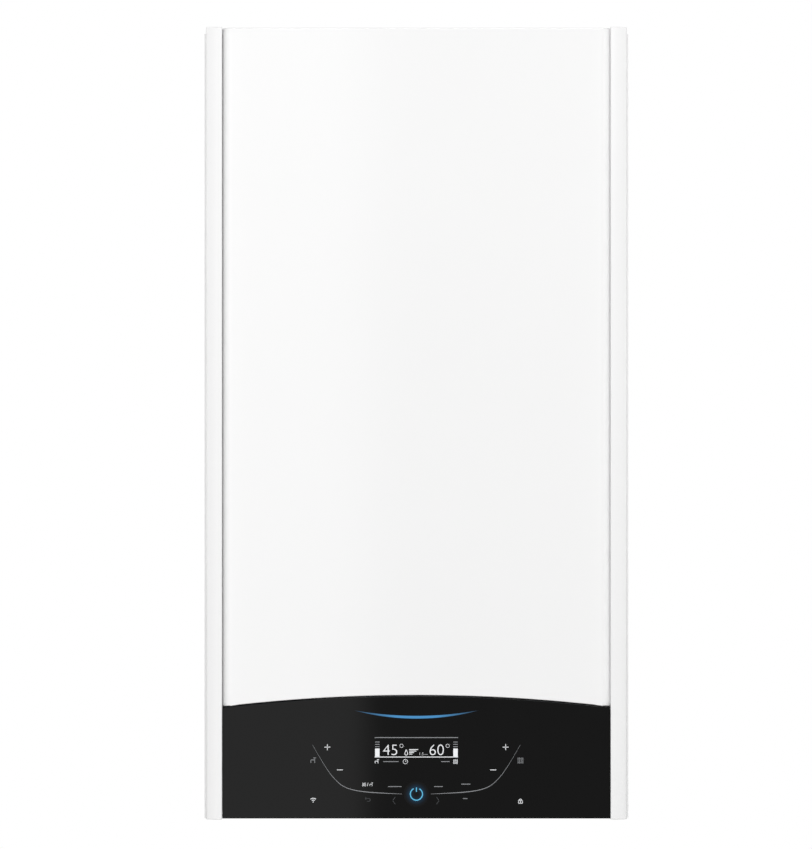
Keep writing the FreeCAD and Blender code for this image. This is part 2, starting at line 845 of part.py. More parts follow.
def heat_exchanger():
    """Drum shell with outer ribs, a flue socket on top, and water and drain ports below."""
    back = Vector(exchanger_x, -exchanger_back, exchanger_z)
    shell = rod("y", exchanger_radius, back, -exchanger_depth)
    pitch = exchanger_depth / (exchanger_rib_count + 1)
    inner = exchanger_radius - exchanger_rib_rise
    for index in range(exchanger_rib_count + 1):
        start = back - Vector(0, index * pitch + exchanger_rib_width, 0)
        shell = shell.cut(tube("y", exchanger_radius + overrun, inner, start, exchanger_rib_width - pitch))
    socket = rod("z", flue_pipe_radius + flue_socket_wall, Vector(0, -flue_depth, exchanger_z),
                 flue_socket_rise)
    ports = []
    for x in (manifold_mid_x - port_distance, manifold_mid_x):
        ports.append(rod("z", port_radius, Vector(x, pump_mid_y, exchanger_z), port_z - exchanger_z))
    drain = rod("z", drain_radius, Vector(drain_x, -drain_plane, exchanger_z), port_z - exchanger_z)
    shell = merged(shell, socket, drain, *ports)
    floor = back - Vector(0, exchanger_floor, 0)
    cavity = rod("y", exchanger_radius - exchanger_wall, floor, -exchanger_depth)
    seat = rod("z", flue_pipe_radius + flue_socket_play, Vector(0, -flue_depth, flue_seat_z()),
               flue_socket_depth + overrun)
    throat = rod("z", flue_pipe_radius - flue_pipe_wall, Vector(0, -flue_depth, exchanger_z),
                 flue_socket_rise)
    return shell.cut(cavity).cut(seat).cut(throat)


def exchanger_coil():
    """Finned coil, one grooved ring that stands off the drum's wall."""
    radius = exchanger_radius - exchanger_wall - coil_gap
    length = exchanger_depth - exchanger_floor - coil_end_gap
    start = Vector(exchanger_x, -exchanger_back - exchanger_floor, exchanger_z)
    coil = tube("y", radius, radius - coil_thickness, start, -length)
    pitch = length / coil_turns
    for turn in range(1, coil_turns):
        groove = start - Vector(0, turn * pitch, 0)
        width = pitch * coil_groove_share
        coil = coil.cut(tube("y", radius + overrun, radius - coil_groove_depth, groove, -width))
    return coil


def support_rail():
    """Channel across the casing that carries the heat exchanger and the silencer."""
    low, high = exchanger_z - rail_height / 2, exchanger_z + rail_height / 2
    rail = block(-inner_half, inner_half, rail_back_y, -exchanger_back, low, high)
    return rail.cut(block(-inner_half, inner_half, rail_back_y + overrun, rail_wall - exchanger_back,
                          low + rail_wall, high - rail_wall))


def burner_door():
    """Round door on the drum, with the duct that brings the mixture from the fan."""
    disc = rod("y", exchanger_radius, Vector(exchanger_x, exchanger_front_y, exchanger_z), -door_thickness)
    low, high = exchanger_z - duct_height / 2, exchanger_z + duct_height / 2
    end_x = exchanger_x + duct_reach
    duct_y = door_front_y - duct_depth
    duct = block(spout_end_x, end_x, door_front_y, duct_y, low, high)
    hollow = block(spout_end_x - overrun, end_x - duct_wall, door_front_y - duct_wall, duct_y + duct_wall,
                   low + duct_wall, high - duct_wall)
    inlet = rod("y", min(door_inlet_radius, duct_height / 2 - duct_wall),
                Vector(exchanger_x, exchanger_front_y + overrun, exchanger_z),
                -door_thickness - duct_wall - 2 * overrun)
    inlet = inlet.common(block(-half_width, half_width, exchanger_front_y + overrun,
                               duct_y + duct_wall, low, high))
    return merged(disc, duct).cut(hollow).cut(inlet)


def burner_door_nuts():
    """Hexagon nuts round the burner door."""
    radius = nut_width / math.sqrt(3)
    nuts = []
    for index in range(nut_count):
        angle = math.radians(360.0 * (index + 0.5) / nut_count)
        x = exchanger_x + nut_circle_radius * math.cos(angle)
        z = exchanger_z + nut_circle_radius * math.sin(angle)
        corners = []
        for corner in range(7):
            turn = math.radians(60.0 * corner)
            corners.append(Vector(x + radius * math.cos(turn), door_front_y, z + radius * math.sin(turn)))
        nuts.append(Part.Face(Part.makePolygon(corners)).extrude(Vector(0, -nut_height, 0)))
    return Part.makeCompound(nuts)


def burner():
    """Closed steel sleeve inside the coil, open to the door."""
    mouth = Vector(exchanger_x, exchanger_front_y, exchanger_z)
    return rod("y", burner_radius, mouth, burner_length).cut(
        rod("y", burner_radius - burner_wall, mouth, burner_length - burner_wall))


def electrode_place():
    """X and Z of the electrode on the burner door."""
    angle = math.radians(electrode_angle)
    return (exchanger_x + electrode_circle_radius * math.cos(angle),
            exchanger_z + electrode_circle_radius * math.sin(angle))


def electrode_tip_y():
    """Y of the middle of the lead's boot on the electrode."""
    return door_front_y - electrode_length + electrode_boot_radius


def ignition_electrode():
    """Ceramic electrode on a small plate, with an upright boot for the lead."""
    x, z = electrode_place()
    half = electrode_plate / 2
    plate = block(x - half, x + half, door_front_y, door_front_y - electrode_plate_thickness,
                  z - electrode_radius, z + electrode_radius)
    body = rod("y", electrode_radius, Vector(x, door_front_y, z), -electrode_length)
    boot = rod("z", electrode_boot_radius, Vector(x, electrode_tip_y(), z), electrode_boot_rise)
    return merged(plate, body, boot)


def ignition_transformer():
    """Potted transformer fixed to the left side panel."""
    return block(-inner_half, transformer_width - inner_half, -transformer_plane,
                 -transformer_plane - transformer_depth, transformer_z,
                 transformer_z + transformer_height)


def ignition_lead():
    """High-voltage lead from the electrode's boot, over the fan motor, into the transformer's side."""
    x, z = electrode_place()
    first = Vector(x, electrode_tip_y(), z + electrode_boot_rise)
    last = Vector(transformer_width - inner_half, -transformer_plane - transformer_depth / 2,
                  transformer_z + transformer_height / 2)
    route = [first, Vector(x, first.y, exchanger_z + lead_turn_rise),
             Vector(lead_crest_x, -lead_crest_reach, exchanger_z + lead_crest_rise),
             last + Vector(lead_entry_reach, 0, 0), last]
    radii = []
    for index in range(1, len(route) - 1):
        into = route[index] - route[index - 1]
        away = route[index + 1] - route[index]
        reach = lead_bend_share * min(into.Length, away.Length)
        radii.append(reach / math.tan(into.getAngle(away) / 2))
    print("ignition lead bend radii:", [round(radius, 1) for radius in radii])
    return sweep(route, radii, lead_radius)


def fan_centre(z):
    """Point on the fan's upright axis."""
    return Vector(fan_x, -fan_plane, z)


def spout_shape(inset, end_x):
    """Fan outlet, drawn in by an inset, run to an end."""
    front = -fan_plane - fan_radius
    return block(fan_x, end_x, front + inset, front + spout_width - inset,
                 exchanger_z - duct_height / 2 + inset, exchanger_z + duct_height / 2 - inset)


def fan_housing():
    """Round hollow housing with a side spout, an inlet below and a shaft hole above."""
    drum = rod("z", fan_radius, fan_centre(fan_low_z), fan_height)
    front = -fan_plane - fan_radius
    margin = spout_flange_margin
    flange = block(spout_end_x - spout_flange, spout_end_x, front - margin, front + spout_width + margin,
                   exchanger_z - duct_height / 2 - margin, exchanger_z + duct_height / 2 + margin)
    housing = merged(drum, spout_shape(0, spout_end_x), flange)
    inside = rod("z", fan_radius - fan_wall, fan_centre(fan_low_z + fan_wall), fan_height - 2 * fan_wall)
    drill = fan_wall + 2 * overrun
    inlet = rod("z", fan_inlet_radius, fan_centre(fan_low_z - overrun), drill)
    shaft_hole = rod("z", fan_shaft_hole_radius, fan_centre(fan_high_z + overrun), -drill)
    return housing.cut(inside).cut(spout_shape(fan_wall, spout_end_x + overrun)).cut(inlet).cut(shaft_hole)


def fan_motor():
    """Motor on top of the fan, bored for the impeller's shaft."""
    motor = rod("z", fan_motor_radius, fan_centre(fan_high_z), fan_motor_length)
    return motor.cut(rod("z", fan_shaft_radius + shaft_clearance, fan_centre(fan_high_z - overrun),
                         overrun + fan_shaft_reach + fan_shaft_play))


def fan_impeller():
    """Bladed wheel with its shaft up into the motor."""
    low = fan_low_z + fan_wall + fan_wheel_gap
    high = fan_high_z - fan_wall - fan_wheel_gap
    disc = rod("z", fan_wheel_radius, fan_centre(high - fan_disc), fan_disc)
    hub = rod("z", fan_hub_radius, fan_centre(low + fan_disc), high - low - fan_disc)
    shaft_low = high - fan_disc
    shaft = rod("z", fan_shaft_radius, fan_centre(shaft_low), fan_high_z + fan_shaft_reach - shaft_low)
    rim = tube("z", fan_wheel_radius, fan_blade_inner_radius, fan_centre(low), fan_disc)
    blade = block(fan_x + fan_blade_inner_radius, fan_x + fan_wheel_radius, -fan_plane - fan_blade / 2,
                  -fan_plane + fan_blade / 2, low, high)
    inside = rod("z", fan_wheel_radius, fan_centre(low), high - low)
    blades = [copy.common(inside) for copy in spokes(blade, fan_blade_count, fan_centre(low), "z")]
    return merged(disc, hub, shaft, rim, *blades)


def gas_air_mixer():
    """Waisted throat under the fan, with a flange for the gas and air inlets."""
    low = mixer_z
    body = rod("z", mixer_radius, fan_centre(low), mixer_height)
    flange = rod("z", mixer_flange_radius, fan_centre(low), mixer_flange)
    half = mixer_height / 2
    inlet = intake_radius - intake_wall
    lower = Part.makeCone(inlet, mixer_throat_radius, half, fan_centre(low))
    upper = Part.makeCone(mixer_throat_radius, fan_inlet_radius, half, fan_centre(low + half))
    return merged(body, flange).cut(lower).cut(upper)


def intake_silencer():
    """Hollow air box on the support rail, with the elbow that leads to the mixer."""
    right = fan_x + silencer_overhang
    left = right - silencer_width
    back = -exchanger_back
    front = back - silencer_depth
    low = intake_z - intake_radius - silencer_foot_margin
    high = low + silencer_height
    wall = silencer_wall
    box = block(left, right, back, front, low, high)
    port = Vector(fan_x, front, intake_z)
    route = [fan_centre(mixer_z), fan_centre(intake_z), port]
    elbow = bent_pipe(route, intake_bend, intake_radius, intake_wall)
    hollow = block(left + wall, right - wall, back - wall, front + wall, low + wall, high - wall)
    mouth = rod("y", intake_radius - intake_wall, port, overrun)
    top = Vector((left + right) / 2, (back + front) / 2, high + overrun)
    intake = rod("z", silencer_intake_radius, top, -2 * overrun)
    return merged(box, elbow).cut(hollow).cut(mouth).cut(intake)


def gas_valve():
    """Cast valve with two solenoids in front and an outlet up to the mixer's flange."""
    low, high = gas_valve_z, gas_valve_top_z
    front = -gas_valve_plane - gas_valve_depth / 2
    body = block(gas_valve_x - gas_valve_width / 2, gas_valve_x + gas_valve_width / 2, front,
                 front + gas_valve_depth, low, high)
    outlet_foot = Vector(fan_x + gas_outlet_shift_x, -fan_plane + gas_outlet_shift_y, high)
    outlet = rod("z", gas_outlet_radius, outlet_foot, mixer_z - high)
    coils = []
    for side in (-1, 1):
        middle = Vector(gas_valve_x + side * solenoid_distance / 2, front, (low + high) / 2)
        coils.append(rod("y", solenoid_radius, middle, -solenoid_length))
    return merged(body, outlet, *coils)


def gas_pipe():
    """Gas pipe from its threaded tail, over the plate exchanger, up into the valve."""
    height = up(gas_pipe_height)
    start = Vector(0, manifold_mid_y, up(tail_end_height))
    route = [start, Vector(0, manifold_mid_y, height), Vector(0, -gas_valve_plane, height),
             Vector(gas_valve_x, -gas_valve_plane, height),
             Vector(gas_valve_x, -gas_valve_plane, gas_valve_z)]
    thread = tube("z", heating_tail_radius, gas_pipe_radius - gas_pipe_wall, start, tail_thread_length)
    return merged(bent_pipe(route, gas_pipe_bend, gas_pipe_radius, gas_pipe_wall), thread)


def vessel_solid(inset):
    """Flat round vessel, drawn in by an inset: two flats joined by rounded rims."""
    back = frame_front_y - inset
    front = frame_front_y - vessel_depth + inset
    middle = (back + front) / 2
    radius = vessel_radius - inset
    flat = vessel_radius - vessel_depth / 2
    rise = (back - middle) * math.sqrt(0.5)
    swell = flat + rise
    points = [Vector(0, back, 0), Vector(flat, back, 0), Vector(swell, middle + rise, 0),
              Vector(radius, middle, 0), Vector(swell, middle - rise, 0), Vector(flat, front, 0),
              Vector(0, front, 0)]
    edges = [Part.makeLine(points[0], points[1]), Part.Arc(points[1], points[2], points[3]).toShape(),
             Part.Arc(points[3], points[4], points[5]).toShape(), Part.makeLine(points[5], points[6]),
             Part.makeLine(points[6], points[0])]
    shape = Part.Face(Part.Wire(edges)).revolve(Vector(0, 0, 0), AXES["y"], 360)
    shape.translate(Vector(0, 0, vessel_z))
    return shape


def vessel_nozzle_place(share):
    """Point on the vessel nozzle's axis, at a share of the vessel's radius below its middle."""
    return Vector(vessel_nozzle_x, frame_front_y - vessel_depth / 2, vessel_z - vessel_radius * share)


def expansion_vessel():
    """Pressed vessel with a rolled seam, and its nozzle below."""
    middle_y = frame_front_y - vessel_depth / 2
    seam_ring = tube("y", vessel_radius + vessel_seam, vessel_radius - vessel_seam,
                     Vector(0, middle_y - vessel_seam_width / 2, vessel_z), vessel_seam_width)
    start = vessel_nozzle_place(vessel_nozzle_start_share)
    length = vessel_nozzle_place(vessel_nozzle_end_share).z - start.z
    nozzle = rod("z", vessel_nozzle_radius, start, length)
    vessel = merged(vessel_solid(0), seam_ring, nozzle)
    return vessel.cut(vessel_solid(vessel_wall)).cut(rod("z", vessel_nozzle_bore, start, length))


def vessel_hose():
    """Hose from the vessel's nozzle down to the back of the return block."""
    start = vessel_nozzle_place(vessel_nozzle_end_share)
    corner = Vector(start.x, start.y, up(vessel_hose_height))
    route = [start, corner, Vector(start.x, -manifold_back, corner.z)]
    return sweep(route, [vessel_hose_bend], vessel_hose_radius)


def stepped_tail(x, radius, bore):
    """Tail with a threaded end below the bottom plate, a slimmer neck, and a flange against its block."""
    low = Vector(x, manifold_mid_y, up(tail_end_height))
    high = Vector(x, manifold_mid_y, up(manifold_height))
    thread = tube("z", radius, bore, low, tail_thread_length)
    flange = tube("z", radius + tail_flange_rise, bore, high, -tail_flange)
    return merged(thread, flange, tube("z", radius - tail_step, bore, low, high.z - low.z))


def pipe_tails():
    """Heating and water tails, as four separate pieces."""
    places = tail_places()
    tails = []
    for name in ("flow", "return"):
        tails.append(stepped_tail(places[name], heating_tail_radius, heating_tail_bore))
    for name in ("hot", "cold"):
        tails.append(stepped_tail(places[name], water_tail_radius, water_tail_bore))
    return Part.makeCompound(tails)


def manifold(side, height):
    """Plain moulded block on one side of the gas pipe."""
    inner = side * manifold_gap / 2
    return block(inner, inner + side * manifold_width, -manifold_back, manifold_front_y,
                 up(manifold_height), up(manifold_height + height))


def flow_block():
    """Left block, bored for the diverter valve, with a passage to each of its tails."""
    body = manifold(-1, flow_block_height)
    bore = Vector(-tail_pitch, manifold_mid_y, up(diverter_bore_height))
    body = body.cut(rod("z", diverter_bore_radius, bore, flow_top_z - bore.z + overrun))
    valve = Vector(-2 * tail_pitch, manifold_front_y - overrun, up(manifold_height + safety_valve_rise))
    body = body.cut(rod("y", knob_stem_radius, valve, manifold_depth / 2 + overrun))
    foot = Vector(-2 * tail_pitch, manifold_mid_y, up(manifold_height) - overrun)
    return body.cut(rod("z", heating_tail_bore, foot, safety_valve_rise + overrun))


def return_block():
    """Right block, bored for the flow turbine and its pin, with a passage from the return tail."""
    body = manifold(1, return_block_height)
    foot = Vector(tail_pitch, manifold_mid_y, up(manifold_height) - overrun)
    body = body.cut(rod("z", turbine_bore_radius, foot, turbine_bore_depth + overrun))
    body = body.cut(rod("z", turbine_pin_radius + shaft_clearance, foot,
                        overrun + turbine_bore_depth + turbine_pin_reach + turbine_pin_play))
    return body.cut(rod("z", heating_tail_bore, Vector(2 * tail_pitch, manifold_mid_y, foot.z),
                        return_block_height / 2 + overrun))


def flow_turbine():
    """Small vaned wheel in the cold water inlet, on a pin that runs in the block."""
    high = up(manifold_height + turbine_bore_depth) - turbine_gap
    centre = Vector(tail_pitch, manifold_mid_y, high - turbine_length)
    hub = rod("z", turbine_hub_radius, centre, turbine_length)
    pin = rod("z", turbine_pin_radius, centre, turbine_length + turbine_gap + turbine_pin_reach)
    vane = block(centre.x, centre.x + turbine_radius, centre.y - turbine_vane / 2,
                 centre.y + turbine_vane / 2, centre.z, high)
    return merged(hub, pin, *spokes(vane, turbine_vane_count, centre, "z"))


def pump_body():
    """Pump volute on a foot, with an outlet boss and a boss for the air vent."""
    centre = Vector(manifold_mid_x, -manifold_back, pump_z)
    volute = rod("y", pump_radius, centre, -pump_depth)
    half = pump_foot_width / 2
    foot = block(centre.x - half, centre.x + half, -manifold_back - pump_foot_inset,
                 pump_front_y + pump_foot_inset, return_top_z, pump_z)
    outlet = rod("z", pump_outlet_radius, Vector(centre.x, pump_mid_y, pump_z), pump_outlet_z - pump_z)
    vent = rod("z", vent_boss_radius, Vector(centre.x - vent_shift, pump_mid_y, pump_z), pump_radius)
    cavity = rod("y", pump_radius - pump_wall - pump_wheel_gap, centre - Vector(0, pump_wall, 0), -pump_depth)
    middle = Vector(centre.x, pump_mid_y, pump_z)
    passage = rod("z", pipe_radius - pipe_wall, middle, pump_outlet_z - pump_z + overrun)
    return merged(volute, foot, outlet, vent).cut(cavity).cut(passage)


def pump_motor():
    """Wet-rotor motor on the front of the pump, ringed with cooling grooves."""
    face = Vector(manifold_mid_x, pump_front_y, pump_z)
    flange = rod("y", pump_radius, face, -pump_motor_flange)
    motor = rod("y", pump_motor_radius, face, -pump_motor_length)
    pitch = (pump_motor_length - pump_motor_flange) / (pump_motor_fins + 1)
    for index in range(1, pump_motor_fins + 1):
        groove = face - Vector(0, pump_motor_flange + index * pitch, 0)
        motor = motor.cut(tube("y", pump_radius, pump_motor_radius - pump_motor_fin_depth, groove,
                              pitch * pump_motor_fin_share))
    bore = rod("y", pump_shaft_radius + shaft_clearance, face + Vector(0, overrun, 0),
               -overrun - pump_shaft_reach - pump_shaft_play)
    return merged(flange, motor).cut(bore)


def pump_impeller():
    """Vaned wheel in the pump, with its shaft into the motor."""
    front = pump_front_y + pump_wheel_gap
    back = -manifold_back - pump_wall - pump_wheel_gap
    centre = Vector(manifold_mid_x, front, pump_z)
    radius = pump_radius - pump_wall - 2 * pump_wheel_gap
    disc = rod("y", radius, centre, pump_wheel_disc)
    hub = rod("y", pump_hub_radius, centre, back - front)
    shaft = rod("y", pump_shaft_radius, centre + Vector(0, pump_wheel_disc, 0),
                pump_front_y - pump_shaft_reach - front - pump_wheel_disc)
    vane = block(centre.x + pump_vane_inner_radius, centre.x + radius, front, back,
                 pump_z - pump_vane / 2, pump_z + pump_vane / 2)
    inside = rod("y", radius, centre, back - front)
    vanes = [copy.common(inside) for copy in spokes(vane, pump_vane_count, centre, "y")]
    return merged(disc, hub, shaft, *vanes)


def air_vent():
    """Automatic air vent on the pump, with its small cap."""
    foot = Vector(manifold_mid_x - vent_shift, pump_mid_y, pump_z + pump_radius)
    pot = rod("z", vent_radius, foot, vent_height)
    cap = rod("z", vent_cap_radius, foot + Vector(0, 0, vent_height), vent_cap_height)
    return merged(pot, cap)


def plate_exchanger():
    """Brazed plate pack across the fronts of the two blocks."""
    half = plates_width / 2
    low, high = up(plates_foot_height), up(plates_foot_height + plates_height)
    back = manifold_front_y
    pack = block(plates_edge - half, half - plates_edge, back, back - plates_depth,
                 low + plates_edge, high - plates_edge)
    pitch = plates_depth / plates_count
    for index in range(plates_count):
        start = back - index * pitch
        pack = pack.fuse(block(-half, half, start, start - pitch * plates_share, low, high))
    return pack.removeSplitter()


def diverter_motor():
    """Small motor on the flow block, bored for the diverter stem."""
    foot = Vector(-tail_pitch, manifold_mid_y, flow_top_z)
    motor = rod("z", diverter_motor_radius, foot, diverter_motor_height)
    return motor.cut(rod("z", diverter_stem_radius + shaft_clearance, foot - Vector(0, 0, overrun),
                         overrun + diverter_stem_reach + diverter_stem_play))


def diverter_stem():
    """Valve disc on a stem that slides in the diverter motor."""
    low = Vector(-tail_pitch, manifold_mid_y, up(diverter_disc_height))
    disc = rod("z", diverter_disc_radius, low, diverter_disc)
    return merged(disc, rod("z", diverter_stem_radius, low, flow_top_z + diverter_stem_reach - low.z))


def flow_pipe():
    """Copper pipe from the heat exchanger over to the flow block."""
    x = manifold_mid_x - port_distance
    height = flow_top_z + (port_z - flow_top_z) * flow_pipe_share
    route = [Vector(x, pump_mid_y, port_z), Vector(x, pump_mid_y, height),
             Vector(-manifold_mid_x, pump_mid_y, height), Vector(-manifold_mid_x, pump_mid_y, flow_top_z)]
    return bent_pipe(route, pipe_bend, pipe_radius, pipe_wall)


def return_pipe():
    """Copper pipe from the pump straight up to the heat exchanger."""
    return tube("z", pipe_radius, pipe_radius - pipe_wall, Vector(manifold_mid_x, pump_mid_y, pump_outlet_z),
                port_z - pump_outlet_z)


def safety_place(y):
    """Point on the safety valve's axis."""
    return Vector(-2 * tail_pitch, y, up(manifold_height + safety_valve_rise))


def safety_valve():
    """Brass relief valve on the front of the flow block, bored for its knob's stem."""
    front = manifold_front_y - safety_valve_length
    body = rod("y", safety_valve_radius, safety_place(manifold_front_y), -safety_valve_length)
    return body.cut(rod("y", knob_stem_radius + shaft_clearance, safety_place(front - overrun),
                        overrun + knob_stem_length + knob_stem_play))


def gripped_knob(axis, radius, start, length):
    """Round knob with finger hollows round its rim."""
    knob = rod(axis, radius, start, length)
    aside = AXES["x"] * radius
    hollow = rod(axis, knob_grip_radius, start + aside - AXES[axis] * math.copysign(overrun, length),
                 length + math.copysign(2 * overrun, length))
    for copy in spokes(hollow, knob_grips, start, axis):
        knob = knob.cut(copy)
    return knob


def safety_valve_knob():
    """Red knob that turns to open the relief valve by hand."""
    face = manifold_front_y - safety_valve_length - knob_gap
    knob = gripped_knob("y", safety_knob_radius, safety_place(face), -safety_knob_length)
    return merged(knob, rod("y", knob_stem_radius, safety_place(face), knob_gap + knob_stem_length))


def tap_place(z):
    """Point on the filling tap's axis."""
    return Vector(tail_pitch + tap_shift, -tap_plane, z)


def filling_tap():
    """Tap body under the return block, bored for its knob's stem."""
    body = rod("z", tap_radius, tap_place(up(manifold_height)), -tap_length)
    low = up(manifold_height) - tap_length
    return body.cut(rod("z", knob_stem_radius + shaft_clearance, tap_place(low - overrun),
                        overrun + knob_stem_length + knob_stem_play))


def filling_tap_knob():
    """Winged knob below the bottom plate, on a stem up into the tap."""
    high = plate_low_z - tap_knob_drop
    centre = tap_place(high - tap_knob_height)
    barrel = rod("z", tap_knob_radius, centre, tap_knob_height)
    wing = block(centre.x - tap_wing_length / 2, centre.x + tap_wing_length / 2,
                 centre.y - tap_wing_width / 2, centre.y + tap_wing_width / 2, centre.z, high)
    stem_top = up(manifold_height) - tap_length + knob_stem_length
    return merged(barrel, wing, rod("z", knob_stem_radius, centre, stem_top - centre.z))


def condensate_trap():
    """Upright trap held by an arm from the back frame."""
    foot = Vector(trap_x, -trap_plane, up(trap_foot_height))
    body = rod("z", trap_radius, foot, trap_top_height - trap_foot_height)
    arm_low = up(trap_arm_foot_height)
    arm = block(trap_x - trap_arm_width / 2, trap_x + trap_arm_width / 2, frame_front_y, -trap_plane,
                arm_low, arm_low + trap_arm_height)
    hollow = rod("z", cup_radius - cup_wall, foot, trap_top_height - trap_foot_height - cup_wall)
    inlet = rod("z", condensate_hose_radius - condensate_hose_wall,
                Vector(trap_x, -trap_plane, up(trap_top_height) - cup_wall - overrun), cup_wall + 2 * overrun)
    return merged(body, arm).cut(hollow).cut(inlet)


def trap_cup():
    """Removable cup under the trap, with the drain tail through the bottom plate."""
    high = Vector(trap_x, -trap_plane, up(trap_foot_height))
    cup = rod("z", cup_radius, high, -cup_height)
    low = Vector(trap_x, -trap_plane, up(tail_end_height))
    neck = rod("z", drain_tail_radius - tail_step, low, trap_foot_height - cup_height - tail_end_height)
    spigot = rod("z", drain_tail_radius, low, tail_thread_length)
    hollow = rod("z", cup_radius - cup_wall, high, cup_wall - cup_height)
    bore = rod("z", drain_tail_bore, low, trap_foot_height - tail_end_height)
    return merged(cup, neck, spigot).cut(hollow).cut(bore)


def condensate_hose():
    """Hose from the drain under the heat exchanger into the top of the trap."""
    trap_top_z = up(trap_top_height)
    drop_z = trap_top_z + (port_z - trap_top_z) * condensate_hose_drop_share
    route = [Vector(drain_x, -drain_plane, port_z), Vector(drain_x, -drain_plane, drop_z),
             Vector(trap_x, -trap_plane, trap_top_z + condensate_hose_entry_rise),
             Vector(trap_x, -trap_plane, trap_top_z)]
    return bent_pipe(route, condensate_hose_bend, condensate_hose_radius, condensate_hose_wall)


PIECES = {
    "wall_bracket": wall_bracket(),
    "back_frame": back_frame(),
    "left_side_panel": side_panel(-1),
    "right_side_panel": side_panel(1),
    "top_plate": top_plate(),
    "bottom_plate": bottom_plate(),
    "left_trim": edge_trim(-1),
    "right_trim": edge_trim(1),
    "front_panel": front_panel(),
    "panel_insulation": panel_insulation(),
    "facia": facia(),
    "control_box": control_box(),
    "control_box_cover": control_box_cover(),
    "main_board": main_board(),
    "touch_board": touch_board(),
    "display_module": display_module(),
    "light_guide": light_guide(),
    "hinge_pins": hinge_pins(),
    "flue_collar": flue_collar(),
    "flue_pipe": flue_pipe(),
    "heat_exchanger": heat_exchanger(),
    "exchanger_coil": exchanger_coil(),
    "support_rail": support_rail(),
    "burner_door": burner_door(),
    "burner_door_nuts": burner_door_nuts(),
    "burner": burner(),
    "ignition_electrode": ignition_electrode(),
    "ignition_transformer": ignition_transformer(),
    "ignition_lead": ignition_lead(),
    "fan_housing": fan_housing(),
    "fan_motor": fan_motor(),
    "fan_impeller": fan_impeller(),
    "gas_air_mixer": gas_air_mixer(),
    "intake_silencer": intake_silencer(),
    "gas_valve": gas_valve(),
    "gas_pipe": gas_pipe(),
    "expansion_vessel": expansion_vessel(),
    "vessel_hose": vessel_hose(),
    "pipe_tails": pipe_tails(),
    "flow_block": flow_block(),
    "return_block": return_block(),
    "flow_turbine": flow_turbine(),
    "pump_body": pump_body(),
    "pump_motor": pump_motor(),
    "pump_impeller": pump_impeller(),
    "air_vent": air_vent(),
    "plate_exchanger": plate_exchanger(),
    "diverter_motor": diverter_motor(),
    "diverter_stem": diverter_stem(),
    "flow_pipe": flow_pipe(),
    "return_pipe": return_pipe(),
    "safety_valve": safety_valve(),
    "safety_valve_knob": safety_valve_knob(),
    "filling_tap": filling_tap(),
    "filling_tap_knob": filling_tap_knob(),
    "condensate_trap": condensate_trap(),
    "trap_cup": trap_cup(),
    "condensate_hose": condensate_hose(),
}

os.makedirs("parts", exist_ok=True)
for name, shape in PIECES.items():
    shape.exportStep("parts/" + name + ".step")
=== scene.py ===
import itertools
import json
import math

import bmesh
import bpy
from mathutils import Matrix, Vector


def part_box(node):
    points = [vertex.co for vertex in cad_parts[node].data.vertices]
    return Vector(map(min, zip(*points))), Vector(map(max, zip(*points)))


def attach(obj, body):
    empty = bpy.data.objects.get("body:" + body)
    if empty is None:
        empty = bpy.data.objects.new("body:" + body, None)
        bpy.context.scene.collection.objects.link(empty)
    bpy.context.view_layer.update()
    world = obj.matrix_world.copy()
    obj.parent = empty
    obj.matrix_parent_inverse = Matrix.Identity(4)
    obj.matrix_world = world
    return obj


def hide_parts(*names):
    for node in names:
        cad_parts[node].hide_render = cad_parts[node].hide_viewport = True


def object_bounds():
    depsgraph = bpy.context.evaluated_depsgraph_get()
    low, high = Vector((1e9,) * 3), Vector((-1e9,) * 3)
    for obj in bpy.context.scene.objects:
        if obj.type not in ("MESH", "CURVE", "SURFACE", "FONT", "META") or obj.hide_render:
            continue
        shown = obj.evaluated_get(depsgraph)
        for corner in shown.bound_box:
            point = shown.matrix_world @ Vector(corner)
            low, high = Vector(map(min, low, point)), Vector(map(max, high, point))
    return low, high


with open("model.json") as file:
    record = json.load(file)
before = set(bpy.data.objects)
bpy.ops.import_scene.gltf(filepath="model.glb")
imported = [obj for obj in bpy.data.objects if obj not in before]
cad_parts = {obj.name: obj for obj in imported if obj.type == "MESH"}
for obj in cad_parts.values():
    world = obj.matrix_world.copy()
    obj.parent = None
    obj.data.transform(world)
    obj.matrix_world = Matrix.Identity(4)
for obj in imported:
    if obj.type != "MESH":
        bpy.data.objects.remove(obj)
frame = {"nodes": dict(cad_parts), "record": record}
cad_low, cad_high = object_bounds()

bl_info = {
    "name": "Wall-hung boiler",
    "version": (1, 0, 0),
    "blender": (4, 5, 0),
    "location": "View3D > Sidebar > Boiler",
    "description": "Dresses a wall-hung condensing boiler: casing, touch facia, inner parts and studio",
    "category": "Object",
}

MM = 0.001

# Points closer than NEAR count as one place, and points closer than JOIN are merged.
NEAR = MM / 10
JOIN = MM / 1000

# Angles in radians past which two faces are square to each other, meet steeply, or aren't flat.
SQUARE, STEEP, BENT = 1.2, 1.0, 0.1

# Angle in degrees above which an edge shows as a crease, on most pieces and on the front panel.
CREASE = 35
PANEL_CREASE = 50

# Facets of large roundings, of the trims' edges, of other edges, of small heads and of a slope.
WIDE_STEPS, TRIM_STEPS, EDGE_STEPS, HEAD_STEPS, SLOPE_STEP = 12, 6, 3, 2, 1

# Facets along the arch of the facia, the crown of a trim, the lit arc and the bend of a hook.
ARCH_STEPS, CROWN_STEPS, ARC_STEPS, HOOK_STEPS = 48, 10, 40, 16

# The photograph's height in pixels, and how much of the casing's front one of them shows.
IMAGE_HEIGHT = 849
PIXEL = 0.941 * MM

# Sockets of a Mix node that blends colours.
MIX_FACTOR, MIX_FIRST, MIX_SECOND, MIX_RESULT = 0, 6, 7, 2

